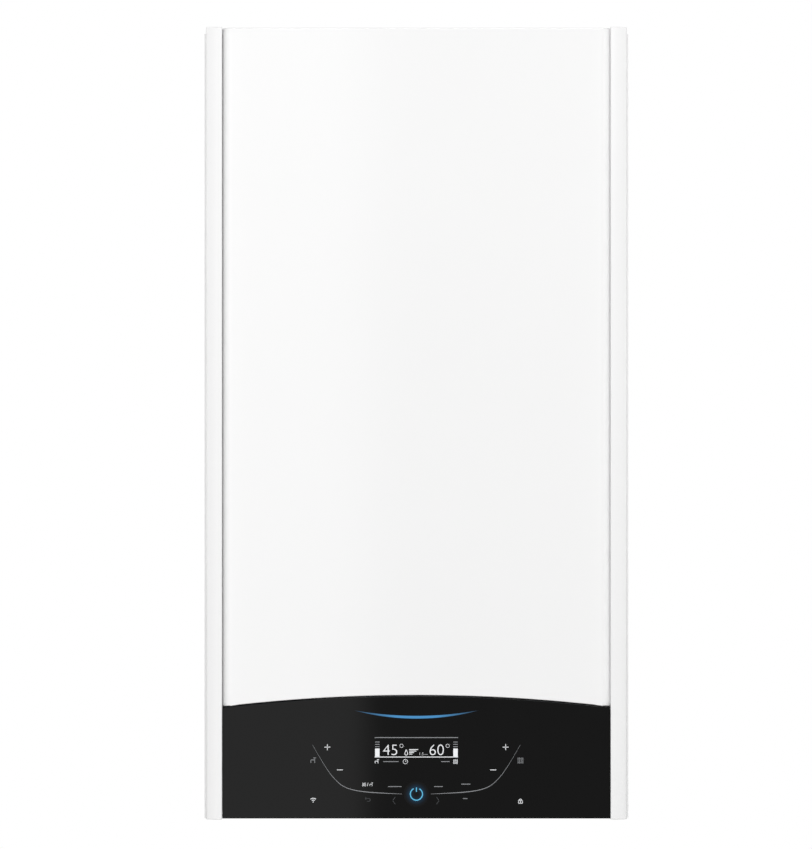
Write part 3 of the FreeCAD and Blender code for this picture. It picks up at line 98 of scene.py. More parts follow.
# Corners that the pieces are set out from.
panel_low, panel_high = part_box("front_panel")
facia_low, facia_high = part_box("facia")
pad_low, pad_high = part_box("panel_insulation")
face_y = facia_low.y


def linear(code):
    """Linear colour, with full alpha, of an sRGB hex value."""
    channels = [int(code[place:place + 2], 16) / 255 for place in (1, 3, 5)]
    return [c / 12.92 if c <= 0.04045 else ((c + 0.055) / 1.055) ** 2.4 for c in channels] + [1.0]


def shaded(tint, share):
    """A colour dimmed or lifted to a share of itself."""
    return [channel * share for channel in tint[:3]] + [1.0]


def per_mm(size):
    """Texture scale that makes one feature this many millimetres long."""
    return 1 / (size * MM)


def length(name, description, millimetres):
    """A length that a user can change."""
    return bpy.props.FloatProperty(name=name, description=description, default=millimetres * MM,
                                   min=0, unit="LENGTH", subtype="DISTANCE", precision=5)


def amount(name, description, value, low=0, **settings):
    """A number that a user can change."""
    return bpy.props.FloatProperty(name=name, description=description, default=value, min=low, **settings)


def colour(name, description, code):
    """A colour that a user can change."""
    return bpy.props.FloatVectorProperty(name=name, description=description, default=linear(code),
                                         size=4, min=0, max=1, subtype="COLOR")


class CasingSizes(bpy.types.PropertyGroup):
    """Edges and walls of the casing's outer pieces."""

    panel_side: length("Panel side", "Rounding of the front panel's long edges", 8.0)
    right_share: amount("Right edge depth", "Depth of the panel's sloped right edge as a share of its width",
                        0.85, low=0.1, max=1, subtype="FACTOR")
    panel_edge: length("Panel edge", "Rounding of the front panel's top and foot", 1.0)
    panel_wall: length("Panel wall", "Sheet thickness of the front panel", 0.8)
    panel_arch: length("Panel arch", "Rise of the front panel's lower edge", 10.8)
    hook_radius: length("Hook radius", "Outer radius of the hook over a hanger pin", 4.0)
    hook_bore: length("Hook bore", "Radius of the hook's open bore", 2.05)
    hook_wall: length("Hook wall", "Thickness of a hook plate", 4.0)
    hook_place: length("Hook place", "Middle of a hook plate from the casing's middle", 170.0)
    hook_height: length("Hook height", "Hanger pin above the bolt line", 45.0)
    hook_depth: length("Hook depth", "Hanger pin behind the panel's face", 6.0)
    trim_outer: length("Trim outer edge", "Radius of a trim's outer edge", 2.0)
    trim_inner: length("Trim inner edge", "Radius of a trim's inner edge", 0.9)
    trim_lean: length("Trim lean", "How far a trim's outer edge lies behind its inner edge", 3.6)
    trim_crown: length("Trim crown", "Rise of a trim's rounded face", 0.9)
    trim_end: length("Trim end", "Radius round a trim's ends", 0.8)
    left_gap: length("Left gap", "Clearance between the left trim and the front panel", 0.2)
    right_gap: length("Right gap", "Clearance between the right trim and the front panel", 0.04)
    facia_edge: length("Facia edge", "Polished bevel round the facia", 0.5)
    pad_edge: length("Pad edge", "Rounding of the foam pad", 1.5)
    pad_border: length("Pad border", "Pressed border round the foam pad", 14.0)
    pad_press: length("Pad press", "How far the border is pressed in", 2.0)


class FastenerSizes(bpy.types.PropertyGroup):
    """Pipe threads, union nuts and screws."""

    thread_pitch: length("Thread pitch", "Rise of a pipe thread in one turn", 2.3)
    thread_base: length("Thread base", "Width of a thread at its root", 1.7)
    thread_height: length("Thread height", "How far a thread stands off its tail", 0.7)
    thread_length: length("Thread length", "Threaded length of a pipe tail", 21.0)
    thread_start: length("Thread start", "Plain end of a tail below its thread", 2.0)
    nut_radius: length("Nut radius", "Radius over the corners of a union nut", 17.5)
    nut_height: length("Nut height", "Height of a union nut", 13.0)
    nut_edge: length("Nut edge", "Chamfer of a union nut's ends", 1.2)
    nut_gap: length("Nut gap", "Union nut to the end of its pipe", 1.0)
    washer_radius: length("Washer radius", "Radius of a screw's pressed washer", 5.0)
    washer_height: length("Washer height", "Thickness of a screw's pressed washer", 0.7)
    hexagon_radius: length("Hexagon radius", "Radius over the corners of a screw's hexagon", 3.4)
    screw_height: length("Screw height", "Height of a screw's head", 3.0)
    low_height: length("Low screw height", "Height of a low screw's head", 1.7)
    screw_edge: length("Screw edge", "Rounding of a screw's head", 0.3)


class FaciaSizes(bpy.types.PropertyGroup):
    """Marks and lit areas of the facia; heights are above its foot."""

    proud: length("Ink thickness", "How far printed marks stand off the facia", 0.08)
    stroke: length("Stroke", "Width of a symbol's lines", 0.72)
    symbol: length("Symbol", "Height of a touch symbol", 5.6)
    figure: length("Figure", "Height of the display's figures", 10.7)
    arc_half: length("Light arc half width", "Half the width of the lit arc", 58.5)
    arc_end: length("Light arc ends", "Height of the lit arc's ends", 101.8)
    arc_low: length("Light arc foot", "Height of the lit arc's lowest point", 94.1)
    arc_width: length("Light arc width", "Width of the lit arc in its middle", 2.5)
    ring_height: length("Ring height", "Height of the power ring's middle", 23.0)
    ring_radius: length("Ring radius", "Outer radius of the power ring", 6.2)
    ring_width: length("Ring width", "Width of the power ring", 0.95)
    glow_radius: length("Glow radius", "Reach of the glow round the power ring", 12.0)


class Finishes(bpy.types.PropertyGroup):
    """Colours of the casing, the facia and the inner parts."""

    enamel: colour("Enamel", "White enamel of the panels", "#f6f6f6")
    trim: colour("Trim", "White of the moulded trims", "#f5f5f5")
    facia: colour("Facia", "Black of the facia", "#060606")
    ink: colour("Ink", "White of lit figures and symbols", "#e4e6e8")
    grey_ink: colour("Grey ink", "Grey of fine lines and bars", "#8c8e91")
    dim_ink: colour("Dim ink", "Dark grey of the keys that are off", "#3c3e41")
    light: colour("Light", "Blue of the lit arc and of the glow", "#3f8fc8")
    ring: colour("Ring", "Blue of the power ring", "#52acd0")
    vessel: colour("Vessel", "Red of the expansion vessel", "#a81f1c")
    board: colour("Board", "Green of the circuit boards", "#1d5b3a")


class StudioSettings(bpy.types.PropertyGroup):
    """Camera, floor and lights."""

    camera_distance: length("Camera distance", "Camera to the facia's plane", 4500.0)
    camera_aside: length("Camera aside", "Camera left of the casing's middle", 9.8)
    camera_below: length("Camera below", "Camera below the casing's middle", 1.2)
    floor_drop: length("Floor drop", "Floor below the casing's foot", 2400.0)
    floor_radius: length("Floor radius", "Reach of the floor", 3600.0)
    background: amount("Background", "Brightness behind the object", 1.0)
    fill: amount("Fill", "Brightness of the room in front", 0.6)
    sides: amount("Sides", "Brightness of the room at both sides", 0.12)
    rear: amount("Rear", "Brightness of the room behind the object", 0.4)
    overhead: amount("Overhead", "Brightness added from above", 0.2)
    softbox: amount("Soft box", "Brightness of the soft box beside the camera", 1.6)
    key: amount("Key", "Power of the light above the camera", 62.0, unit="POWER")
    side_light: amount("Side lights", "Power of the light at each side", 26.0, unit="POWER")


# Building blocks.


def add(tree, kind, inputs=None, **settings):
    """A node of this kind with its settings, its inputs set or linked."""
    node = tree.nodes.new(kind)
    for name, value in settings.items():
        setattr(node, name, value)
    for name, value in (inputs or {}).items():
        if isinstance(value, bpy.types.NodeSocket):
            tree.links.new(value, node.inputs[name])
        else:
            node.inputs[name].default_value = value
    return node


def surface(name, **inputs):
    """A bare material: its node tree, its shader and the object coordinates."""
    material = bpy.data.materials.new(name)
    material.use_nodes = True
    tree = material.node_tree
    tree.nodes.clear()
    values = {key.replace("_", " "): value for key, value in inputs.items()}
    shader = add(tree, "ShaderNodeBsdfPrincipled", values)
    add(tree, "ShaderNodeOutputMaterial", {"Surface": shader.outputs["BSDF"]})
    place = add(tree, "ShaderNodeTexCoord").outputs["Object"]
    return material, tree, shader, place


def patterned(name, grain, detail, tones, gloss=None, relief=None, ripple=None, stretch=None, lit=False,
              texture="ShaderNodeTexNoise", output="Fac", **inputs):
    """Material whose tone, gloss and relief follow one texture.

    The grain is in millimetres, and so is the ripple, a smooth noise for the relief alone. The gloss is the
    range of the roughness. The relief is its strength and its depth in millimetres.
    """
    material, tree, shader, place = surface(name, **inputs)
    if stretch:
        place = add(tree, "ShaderNodeMapping", {"Vector": place, "Scale": stretch}).outputs["Vector"]
    pattern = add(tree, texture, {"Vector": place, "Scale": per_mm(grain), "Detail": detail}).outputs[output]
    tone = add(tree, "ShaderNodeMix", {MIX_FACTOR: pattern, MIX_FIRST: tones[0], MIX_SECOND: tones[1]},
               data_type="RGBA").outputs[MIX_RESULT]
    tree.links.new(tone, shader.inputs["Base Color"])
    if lit:
        tree.links.new(tone, shader.inputs["Emission Color"])
    if gloss:
        spread = add(tree, "ShaderNodeMapRange", {"Value": pattern, "To Min": gloss[0], "To Max": gloss[1]})
        tree.links.new(spread.outputs["Result"], shader.inputs["Roughness"])
    if relief:
        height = pattern
        if ripple:
            fine = add(tree, "ShaderNodeTexNoise", {"Vector": place, "Scale": per_mm(ripple), "Detail": 1.0})
            height = fine.outputs["Fac"]
        strength, depth = relief
        bump = add(tree, "ShaderNodeBump", {"Strength": strength, "Distance": depth * MM, "Height": height})
        tree.links.new(bump.outputs["Normal"], shader.inputs["Normal"])
    return material


def finish_of(slot):
    """The finish made for a slot by the finishes operator."""
    return bpy.data.materials[bpy.context.scene["slot_finishes"][slot]]


def placed(mesh, name, body, slot, material=None, stands_for=()):
    """Puts a mesh in the scene as a piece of the object, in its slot's finish unless it has its own."""
    mesh.materials.clear()
    mesh.materials.append(material or finish_of(slot))
    piece = bpy.data.objects.new(name, mesh)
    bpy.context.scene.collection.objects.link(piece)
    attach(piece, body)
    if stands_for:
        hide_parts(*stands_for)
    return piece


def finished(bm, name, body, slot, material=None, stands_for=(), crease=CREASE):
    """Turns a bmesh into a piece on a body, with a crease at each edge past an angle in degrees."""
    mesh = bpy.data.meshes.new(name)
    bm.to_mesh(mesh)
    bm.free()
    for polygon in mesh.polygons:
        polygon.use_smooth = True
    mesh.set_sharp_from_angle(angle=math.radians(crease))
    return placed(mesh, name, body, slot, material, stands_for)


def lifted(data, name):
    """Mesh of a text or a curve."""
    helper = bpy.data.objects.new(name + "_helper", data)
    mesh = bpy.data.meshes.new_from_object(helper)
    bpy.data.objects.remove(helper)
    mesh.name = name
    return mesh


def evened(piece):
    """Lets the large faces set the normals, so that flat faces reflect flatly beside rounded edges."""
    normals = piece.modifiers.new("normals", "WEIGHTED_NORMAL")
    normals.mode = "FACE_AREA"
    normals.weight = 100
    normals.keep_sharp = True


def turned_out(bm):
    """Points all faces outwards."""
    bmesh.ops.recalc_face_normals(bm, faces=bm.faces[:])


def arc_between(bm, start, middle, end, steps):
    """Vertices of an arc from start to end whose highest point is middle, made by a spin."""
    chord_middle = (start + end) / 2
    half = (end - start).length / 2
    rise = (middle - chord_middle).length
    radius = (half * half + rise * rise) / (2 * rise)
    centre = middle + (chord_middle - middle).normalized() * radius
    axis = (start - centre).cross(middle - centre).normalized()
    first = bm.verts.new(start)
    count = len(bm.verts)
    bmesh.ops.spin(bm, geom=[first], cent=centre, axis=axis, angle=2 * math.asin(half / radius),
                   steps=steps, use_merge=False)
    bm.verts.ensure_lookup_table()
    return [first] + bm.verts[count:]


def pulled(bm, faces, move):
    """Extrudes faces along a vector and gives the faces at the far end."""
    result = bmesh.ops.extrude_face_region(bm, geom=faces)
    bmesh.ops.translate(bm, verts=[v for v in result["geom"] if isinstance(v, bmesh.types.BMVert)], vec=move)
    return [f for f in result["geom"] if isinstance(f, bmesh.types.BMFace)]


def rounded(bm, edges, radius, segments):
    """Rounds edges."""
    bmesh.ops.bevel(bm, geom=edges, offset=radius, offset_type="OFFSET", affect="EDGES", segments=segments,
                    profile=0.5, material=-1)


def level_edges(bm):
    """Level edges between two faces that meet steeply."""
    return [e for e in bm.edges if e.calc_face_angle(0) > STEEP and e.verts[0].co.z == e.verts[1].co.z]


# Finishes.


def moulded_plastic(name, code, grain, roughness):
    """Moulded technical plastic: flat colour broken by a fine eroded grain."""
    base = linear(code)
    return patterned(name, grain, detail=3.0, tones=(base, shaded(base, 0.88)),
                     gloss=(roughness - 0.07, roughness + 0.07), relief=(0.15, 0.05), IOR=1.5)


def cast_metal(name, light, dark, roughness):
    """Sand or die casting: metal with a coarse skin and darker hollows."""
    return patterned(name, grain=1.8, detail=4.0, tones=(linear(dark), linear(light)),
                     gloss=(roughness - 0.1, roughness + 0.1), relief=(0.25, 0.15), Metallic=1.0)


def drawn_metal(name, bright, tarnished, roughness):
    """Drawn or turned metal: bright with cloudy patches of tarnish."""
    return patterned(name, grain=14, detail=5.0, tones=(linear(bright), linear(tarnished)),
                     gloss=(roughness - 0.08, roughness + 0.12), Metallic=1.0)


def lit_ink(name, tint, strength):
    """Back-lit print: even light with the fine dot of a screen print."""
    return patterned(name, grain=0.5, detail=2.0, tones=(tint, shaded(tint, 0.85)), lit=True, Roughness=0.4,
                     IOR=1.4, Emission_Strength=strength)


def display_glass():
    """Dark display glass: near black with the faint cell grid of the panel under it."""
    material, tree, shader, place = surface("dark_display_glass", Roughness=0.08, IOR=1.5)
    cells = add(tree, "ShaderNodeTexChecker", {"Vector": place, "Scale": per_mm(1.0),
                                               "Color1": linear("#0b0d10"), "Color2": linear("#101318")})
    tree.links.new(cells.outputs["Color"], shader.inputs["Base Color"])
    return material


def circuit_board(finishes):
    """Green solder mask over copper tracks: raised lines that catch the light."""
    material, tree, shader, place = surface("solder_masked_board", Roughness=0.35, IOR=1.5)
    tracks = add(tree, "ShaderNodeTexBrick", {"Vector": place, "Scale": per_mm(30), "Mortar Size": 0.03,
                                              "Color1": finishes.board, "Color2": linear("#174c30"),
                                              "Mortar": linear("#3f8a58")})
    tree.links.new(tracks.outputs["Color"], shader.inputs["Base Color"])
    bump = add(tree, "ShaderNodeBump", {"Strength": 0.3, "Distance": 0.05 * MM,
                                        "Height": tracks.outputs["Fac"]})
    tree.links.new(bump.outputs["Normal"], shader.inputs["Normal"])
    return material


def galvanised_steel():
    """Hot-dipped steel: crystals of zinc that each mirror a slightly different grey."""
    material, tree, shader, place = surface("galvanised_steel", Metallic=1.0)
    spangle = add(tree, "ShaderNodeTexVoronoi", {"Vector": place, "Scale": per_mm(9)})
    grey = add(tree, "ShaderNodeSeparateColor", {"Color": spangle.outputs["Color"]})
    tone = add(tree, "ShaderNodeMix", {MIX_FACTOR: grey.outputs["Red"], MIX_FIRST: linear("#a9afb3"),
                                       MIX_SECOND: linear("#c6cbce")}, data_type="RGBA")
    tree.links.new(tone.outputs[MIX_RESULT], shader.inputs["Base Color"])
    gloss = add(tree, "ShaderNodeMapRange", {"Value": grey.outputs["Green"], "To Min": 0.3, "To Max": 0.48})
    tree.links.new(gloss.outputs["Result"], shader.inputs["Roughness"])
    return material


def slot_finishes(finishes):
    """Each material slot of the record with its finish."""
    return {
        # Stoved enamel on steel: half gloss, with the faint ripple that sprayed enamel keeps.
        "white_enamel": patterned("stoved_white_enamel", grain=160, detail=2.0,
                                  tones=(finishes.enamel, shaded(finishes.enamel, 0.985)),
                                  relief=(0.06, 0.02), ripple=1.6, Roughness=0.06, IOR=1.5),
        # Moulded ABS: soft half gloss with a fine spark-eroded grain.
        "white_trim": patterned("moulded_white_abs", grain=0.9, detail=2.0,
                                tones=(finishes.trim, shaded(finishes.trim, 0.98)),
                                gloss=(0.24, 0.34), relief=(0.05, 0.02), IOR=1.5),
        # Polished acrylic with a hard coat: deep black, clear reflections, a trace of handling.
        "black_facia": patterned("hard_coated_black_acrylic", grain=35, detail=4.0,
                                 tones=(finishes.facia, shaded(finishes.facia, 1.5)),
                                 gloss=(0.02, 0.04), IOR=1.25),
        "light_guide": lit_ink("blue_lit_acrylic", finishes.light, 0.4),
        "display": display_glass(),
        "circuit_board": circuit_board(finishes),
        "grey_plastic": moulded_plastic("grey_moulded_abs", "#6f7376", 0.8, 0.5),
        # Open-celled foam: matt grey, pitted with small dark cells.
        "foam": patterned("open_cell_foam", grain=2.5, detail=0.0,
                          tones=(linear("#3f4143"), linear("#6a6d70")), relief=(0.6, 0.6),
                          texture="ShaderNodeTexVoronoi", output="Distance", Roughness=0.95, IOR=1.4),
        "galvanised": galvanised_steel(),
        "cast_aluminium": cast_metal("cast_aluminium", "#bfc1c2", "#8f9294", 0.5),
        # Brushed stainless steel: fine drawn lines that stretch the highlights.
        "stainless": patterned("brushed_stainless", grain=0.7, detail=2.0,
                               tones=(linear("#bdc0c1"), linear("#c9cccd")), gloss=(0.25, 0.32),
                               stretch=(1.0, 1.0, 0.006), Metallic=1.0),
        "black_plastic": moulded_plastic("black_glass_filled_nylon", "#1b1c1d", 0.7, 0.48),
        "white_plastic": moulded_plastic("white_moulded_nylon", "#dcdcd8", 0.8, 0.42),
        "composite": moulded_plastic("grey_glass_filled_composite", "#3b3e40", 0.6, 0.55),
        "motor_casting": cast_metal("painted_motor_casting", "#4b4f52", "#2c2f31", 0.55),
        "brass": drawn_metal("turned_brass", "#c9a45a", "#a5803c", 0.32),
        "copper": drawn_metal("drawn_copper", "#c9785a", "#96503a", 0.3),
        # Sprayed enamel on a pressed steel vessel: glossy red with orange-peel ripple.
        "red_enamel": patterned("sprayed_red_enamel", grain=2.2, detail=2.0,
                                tones=(finishes.vessel, shaded(finishes.vessel, 0.85)),
                                relief=(0.15, 0.1), Roughness=0.3, IOR=1.5),
        "red_plastic": moulded_plastic("red_moulded_abs", "#c0281f", 0.8, 0.4),
        "rubber": moulded_plastic("black_rubber_hose", "#161616", 1.2, 0.75),
        "ceramic": moulded_plastic("glazed_ceramic", "#e6dfd2", 1.5, 0.25),
    }


class BOILER_OT_finishes(bpy.types.Operator):
    """Gives every part of the frame the finish of its material slot"""

    bl_idname = "boiler.finishes"
    bl_label = "Finishes"

    def execute(self, context):
        made = slot_finishes(context.scene.boiler_finishes)
        context.scene["slot_finishes"] = {slot: material.name for slot, material in made.items()}
        for part in frame["record"]["subparts"]:
            materials = frame["nodes"][part["node"]].data.materials
            materials.clear()
            materials.append(made[part["material_slot"]])
        return {"FINISHED"}


# Casing.


def hook_plate(bm, middle_x, sizes):
    """Plate with an open bore that hangs the panel on a pin."""
    pin = Vector((middle_x - sizes.hook_wall / 2, panel_low.y + sizes.hook_depth, sizes.hook_height))
    ends = [bm.verts.new(pin - Vector((0, radius, 0))) for radius in (sizes.hook_bore, sizes.hook_radius)]
    edge = bm.edges.new(ends)
    spun = bmesh.ops.spin(bm, geom=[edge, *ends], cent=pin, axis=(1, 0, 0), angle=-math.pi, steps=HOOK_STEPS,
                          use_merge=False)
    last = [e for e in spun["geom_last"] if isinstance(e, bmesh.types.BMEdge)]
    legs = bmesh.ops.extrude_edge_only(bm, edges=[edge, *last])["geom"]
    feet = [v for v in legs if isinstance(v, bmesh.types.BMVert)]
    bmesh.ops.translate(bm, verts=feet, vec=(0, 0, -sizes.hook_radius))
    pulled(bm, bm.faces[:], Vector((sizes.hook_wall, 0, 0)))


class BOILER_OT_front_panel(bpy.types.Operator):
    """Pressed front panel: a shallow tray with an arched foot, and a hook over each hanger pin"""

    bl_idname = "boiler.front_panel"
    bl_label = "Front panel"

    def execute(self, context):
        sizes = context.scene.boiler_casing
        bm = bmesh.new()
        front_y = panel_low.y
        left, right = (Vector((x, front_y, panel_low.z)) for x in (panel_low.x, panel_high.x))
        middle = Vector((0, front_y, panel_low.z + sizes.panel_arch))
        foot = arc_between(bm, left, middle, right, ARCH_STEPS)
        top = [bm.verts.new((x, front_y, panel_high.z)) for x in (panel_high.x, panel_low.x)]
        face = bm.faces.new(foot + top)
        turned_out(bm)
        back = pulled(bm, [face], Vector((0, panel_high.y - front_y, 0)))
        bmesh.ops.delete(bm, geom=back, context="FACES_ONLY")
        sides = [e for e in bm.edges if all(v.co.y == front_y for v in e.verts)
                 and abs(e.verts[0].co.z - e.verts[1].co.z) > panel_high.z - middle.z]
        rounded(bm, [e for e in sides if e.verts[0].co.x < 0], sizes.panel_side, WIDE_STEPS)
        rounded(bm, [e for e in sides if e.is_valid and e.verts[0].co.x > 0], sizes.panel_side, SLOPE_STEP)
        slope = [v for v in bm.verts if v.co.x > 0 and abs(v.co.y - front_y - sizes.panel_side) < NEAR]
        bmesh.ops.scale(bm, verts=slope, vec=(1, sizes.right_share, 1),
                        space=Matrix.Translation((0, -front_y, 0)))
        rounded(bm, [e for e in bm.edges if e.calc_face_angle(0) > SQUARE], sizes.panel_edge, EDGE_STEPS)
        bmesh.ops.remove_doubles(bm, verts=bm.verts[:], dist=JOIN)
        turned_out(bm)
        skin = finished(bm, "panel_skin", "front_cover", "white_enamel", stands_for=["front_panel"],
                        crease=PANEL_CREASE)
        wall = skin.modifiers.new("sheet", "SOLIDIFY")
        wall.thickness = sizes.panel_wall
        wall.offset = -1
        evened(skin)
        for side, name in ((-1, "panel_hook_left"), (1, "panel_hook_right")):
            bm = bmesh.new()
            hook_plate(bm, side * sizes.hook_place, sizes)
            turned_out(bm)
            finished(bm, name, "front_cover", "white_enamel", stands_for=["front_panel"])
        return {"FINISHED"}


class BOILER_OT_trims(bpy.types.Operator):
    """Two moulded edge trims with a crowned face and a rounded outer edge"""

    bl_idname = "boiler.trims"
    bl_label = "Edge trims"

    def execute(self, context):
        sizes = context.scene.boiler_casing
        for name, side, gap in (("left_trim", -1, sizes.left_gap), ("right_trim", 1, sizes.right_gap)):
            low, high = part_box(name)
            inner_x = side * (panel_high.x + gap)
            outer_x = side * max(abs(low.x), abs(high.x))
            bm = bmesh.new()
            inner = Vector((inner_x, low.y, low.z))
            outer = Vector((outer_x, low.y + sizes.trim_lean, low.z))
            out = (outer - inner).cross(Vector((0, 0, side))).normalized()
            crown = (inner + outer) / 2 + out * sizes.trim_crown
            front = arc_between(bm, inner, crown, outer, CROWN_STEPS)
            back = [bm.verts.new((x, high.y, low.z)) for x in (outer_x, inner_x)]
            pulled(bm, [bm.faces.new(front + back)], Vector((0, 0, high.z - low.z)))
            turned_out(bm)
            for corner, radius in ((outer, sizes.trim_outer), (inner, sizes.trim_inner)):
                upright = [e for e in bm.edges if all((v.co.xy - corner.xy).length < NEAR for v in e.verts)]
                rounded(bm, upright, radius, TRIM_STEPS)
            ends = [e for e in level_edges(bm) if min(v.co.y for v in e.verts) < high.y - MM]
            rounded(bm, ends, sizes.trim_end, EDGE_STEPS)
            bmesh.ops.remove_doubles(bm, verts=bm.verts[:], dist=JOIN)
            evened(finished(bm, f"{name}_moulding", "chassis", "white_trim", stands_for=[name]))
        return {"FINISHED"}


class BOILER_OT_facia(bpy.types.Operator):
    """Black facia plate with an arched top and a polished bevel"""

    bl_idname = "boiler.facia"
    bl_label = "Facia plate"

    def execute(self, context):
        sizes = context.scene.boiler_casing
        bm = bmesh.new()
        shoulder_z = facia_high.z - sizes.panel_arch
        left, right = (Vector((x, face_y, shoulder_z)) for x in (facia_low.x, facia_high.x))
        top = arc_between(bm, left, Vector((0, face_y, facia_high.z)), right, ARCH_STEPS)
        foot = [bm.verts.new((x, face_y, facia_low.z)) for x in (facia_high.x, facia_low.x)]
        face = bm.faces.new(top + foot)
        turned_out(bm)
        pulled(bm, [face], Vector((0, facia_high.y - face_y, 0)))
        front = [e for e in bm.edges if all(abs(v.co.y - face_y) < NEAR for v in e.verts)]
        rounded(bm, front, sizes.facia_edge, EDGE_STEPS)
        turned_out(bm)
        evened(finished(bm, "facia_plate", "control_panel", "black_facia", stands_for=["facia"]))
        return {"FINISHED"}


class BOILER_OT_pad(bpy.types.Operator):
    """Foam pad inside the front panel, with rounded edges and a pressed border"""

    bl_idname = "boiler.pad"
    bl_label = "Foam pad"

    def execute(self, context):
        sizes = context.scene.boiler_casing
        bm = bmesh.new()
        place = Matrix.Translation((pad_low + pad_high) / 2) @ Matrix.Diagonal((*(pad_high - pad_low), 1))
        bmesh.ops.create_cube(bm, size=1, matrix=place)
        back = max(bm.faces, key=lambda face: face.normal.y)
        bmesh.ops.inset_region(bm, faces=[back], thickness=sizes.pad_border, depth=0)
        rim = [v for v in bm.verts if v.co.y > pad_high.y - MM and v not in back.verts]
        bmesh.ops.translate(bm, verts=rim, vec=(0, -sizes.pad_press, 0))
        rounded(bm, [e for e in bm.edges if e.calc_face_angle(0) > BENT], sizes.pad_edge, EDGE_STEPS)
        pad = finished(bm, "foam_pad", "front_cover", "foam", stands_for=["panel_insulation"])
        return {"FINISHED"}


# Threads, nuts and screws. Places and radii are millimetres in the frame.

TAIL_PITCH = 67.0
HEATING_TAIL, WATER_TAIL = 13.2, 10.5
TAIL_RADII = {-2: HEATING_TAIL, -1: WATER_TAIL, 0: HEATING_TAIL, 1: WATER_TAIL, 2: HEATING_TAIL}
TURN_STEPS = 36
PIPE_RADIUS = 11.0
# Where the upper and the lower end of each pipe stand from the casing's middle.
PIPE_ENDS = {"flow_pipe": (15.0, -105.0), "return_pipe": (105.0, 105.0)}
HEXAGON, WASHER_SIDES = 6, 24
# Cuts in each flat of a nut, and the share of its radius that only its rim lies outside of.
NUT_CUTS, NUT_RIM_SHARE = 3, 0.8
# Rows of screws: the body that they ride on, the way that their heads face, and their places on x, y and z.
SCREW_ROWS = {
    "cover_screws": ("control_panel", (0, 1, 0), (-158, 0, 158), (-250,), (-616, -675)),
    "top_plate_screws": ("chassis", (0, 0, 1), (-188, 188), (-35, -150, -265), (50,)),
    "bottom_plate_screws": ("chassis", (0, 0, -1), (-166, 166), (-30, -222), (-650,)),
    "back_frame_screws": ("chassis", (0, 1, 0), (-184, 184), (-12,), (-60, -330, -620)),
}
FLUE_SCREWS, FLUE_SCREW_CIRCLE = 4, 61.5


def thread(bm, foot, radius, sizes):
    """Helical ridge round an upright tail, made by spinning its section while it climbs."""
    root = radius - sizes.thread_height / 4
    crest = radius + sizes.thread_height
    section = ((root, 0), (crest, sizes.thread_base / 2), (root, sizes.thread_base))
    verts = [bm.verts.new(foot + Vector((reach, 0, rise))) for reach, rise in section]
    edges = [bm.edges.new((verts[place - 1], verts[place])) for place in range(len(verts))]
    turns = sizes.thread_length / sizes.thread_pitch
    steps = round(turns * TURN_STEPS)
    spun = bmesh.ops.spin(bm, geom=verts + edges, cent=foot, axis=(0, 0, 1), angle=2 * math.pi * turns,
                          dvec=(0, 0, sizes.thread_length / steps), steps=steps, use_merge=False)
    bm.faces.new(verts)
    bm.faces.new([v for v in spun["geom_last"] if isinstance(v, bmesh.types.BMVert)])


class BOILER_OT_threads(bpy.types.Operator):
    """Pipe threads round the five tails under the casing"""

    bl_idname = "boiler.threads"
    bl_label = "Pipe threads"

    def execute(self, context):
        sizes = context.scene.boiler_fasteners
        low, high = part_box("pipe_tails")
        for number, (place, radius) in enumerate(TAIL_RADII.items(), 1):
            bm = bmesh.new()
            foot = Vector((place * TAIL_PITCH * MM, (low.y + high.y) / 2, low.z + sizes.thread_start))
            thread(bm, foot, radius * MM, sizes)
            turned_out(bm)
            finished(bm, f"tail_thread_{number}", "chassis", "brass" if place else "copper")
        return {"FINISHED"}


def union_nut(bm, foot, bore, sizes):
    """Hexagon nut round an upright pipe, its ring bridged from two outlines and pulled up."""
    place = Matrix.Translation(foot)
    outer = bmesh.ops.create_circle(bm, segments=HEXAGON, radius=sizes.nut_radius, matrix=place)["verts"]
    flats = list({edge for vert in outer for edge in vert.link_edges})
    bmesh.ops.subdivide_edges(bm, edges=flats, cuts=NUT_CUTS)
    hexagon = bm.edges[:]
    inner = bmesh.ops.create_circle(bm, segments=HEXAGON * (NUT_CUTS + 1), radius=bore, matrix=place)["verts"]
    circle = list({edge for vert in inner for edge in vert.link_edges})
    faces = bmesh.ops.bridge_loops(bm, edges=hexagon + circle)["faces"]
    pulled(bm, faces, Vector((0, 0, sizes.nut_height)))
    rim_reach = sizes.nut_radius * NUT_RIM_SHARE
    rim = [e for e in level_edges(bm) if all((v.co.xy - foot.xy).length > rim_reach for v in e.verts)]
    rounded(bm, rim, sizes.nut_edge, HEAD_STEPS)


class BOILER_OT_union_nuts(bpy.types.Operator):
    """Brass union nuts at both ends of the flow pipe and of the return pipe"""

    bl_idname = "boiler.union_nuts"
    bl_label = "Union nuts"

    def execute(self, context):
        sizes = context.scene.boiler_fasteners
        for name, (top_x, foot_x) in PIPE_ENDS.items():
            low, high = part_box(name)
            middle_y = (low.y + high.y) / 2
            feet = {"top": Vector((top_x * MM, middle_y, high.z - sizes.nut_gap - sizes.nut_height)),
                    "foot": Vector((foot_x * MM, middle_y, low.z + sizes.nut_gap))}
            for end, foot in feet.items():
                bm = bmesh.new()
                union_nut(bm, foot, PIPE_RADIUS * MM, sizes)
                turned_out(bm)
                finished(bm, f"{name}_nut_{end}", "chassis", "brass")
        return {"FINISHED"}


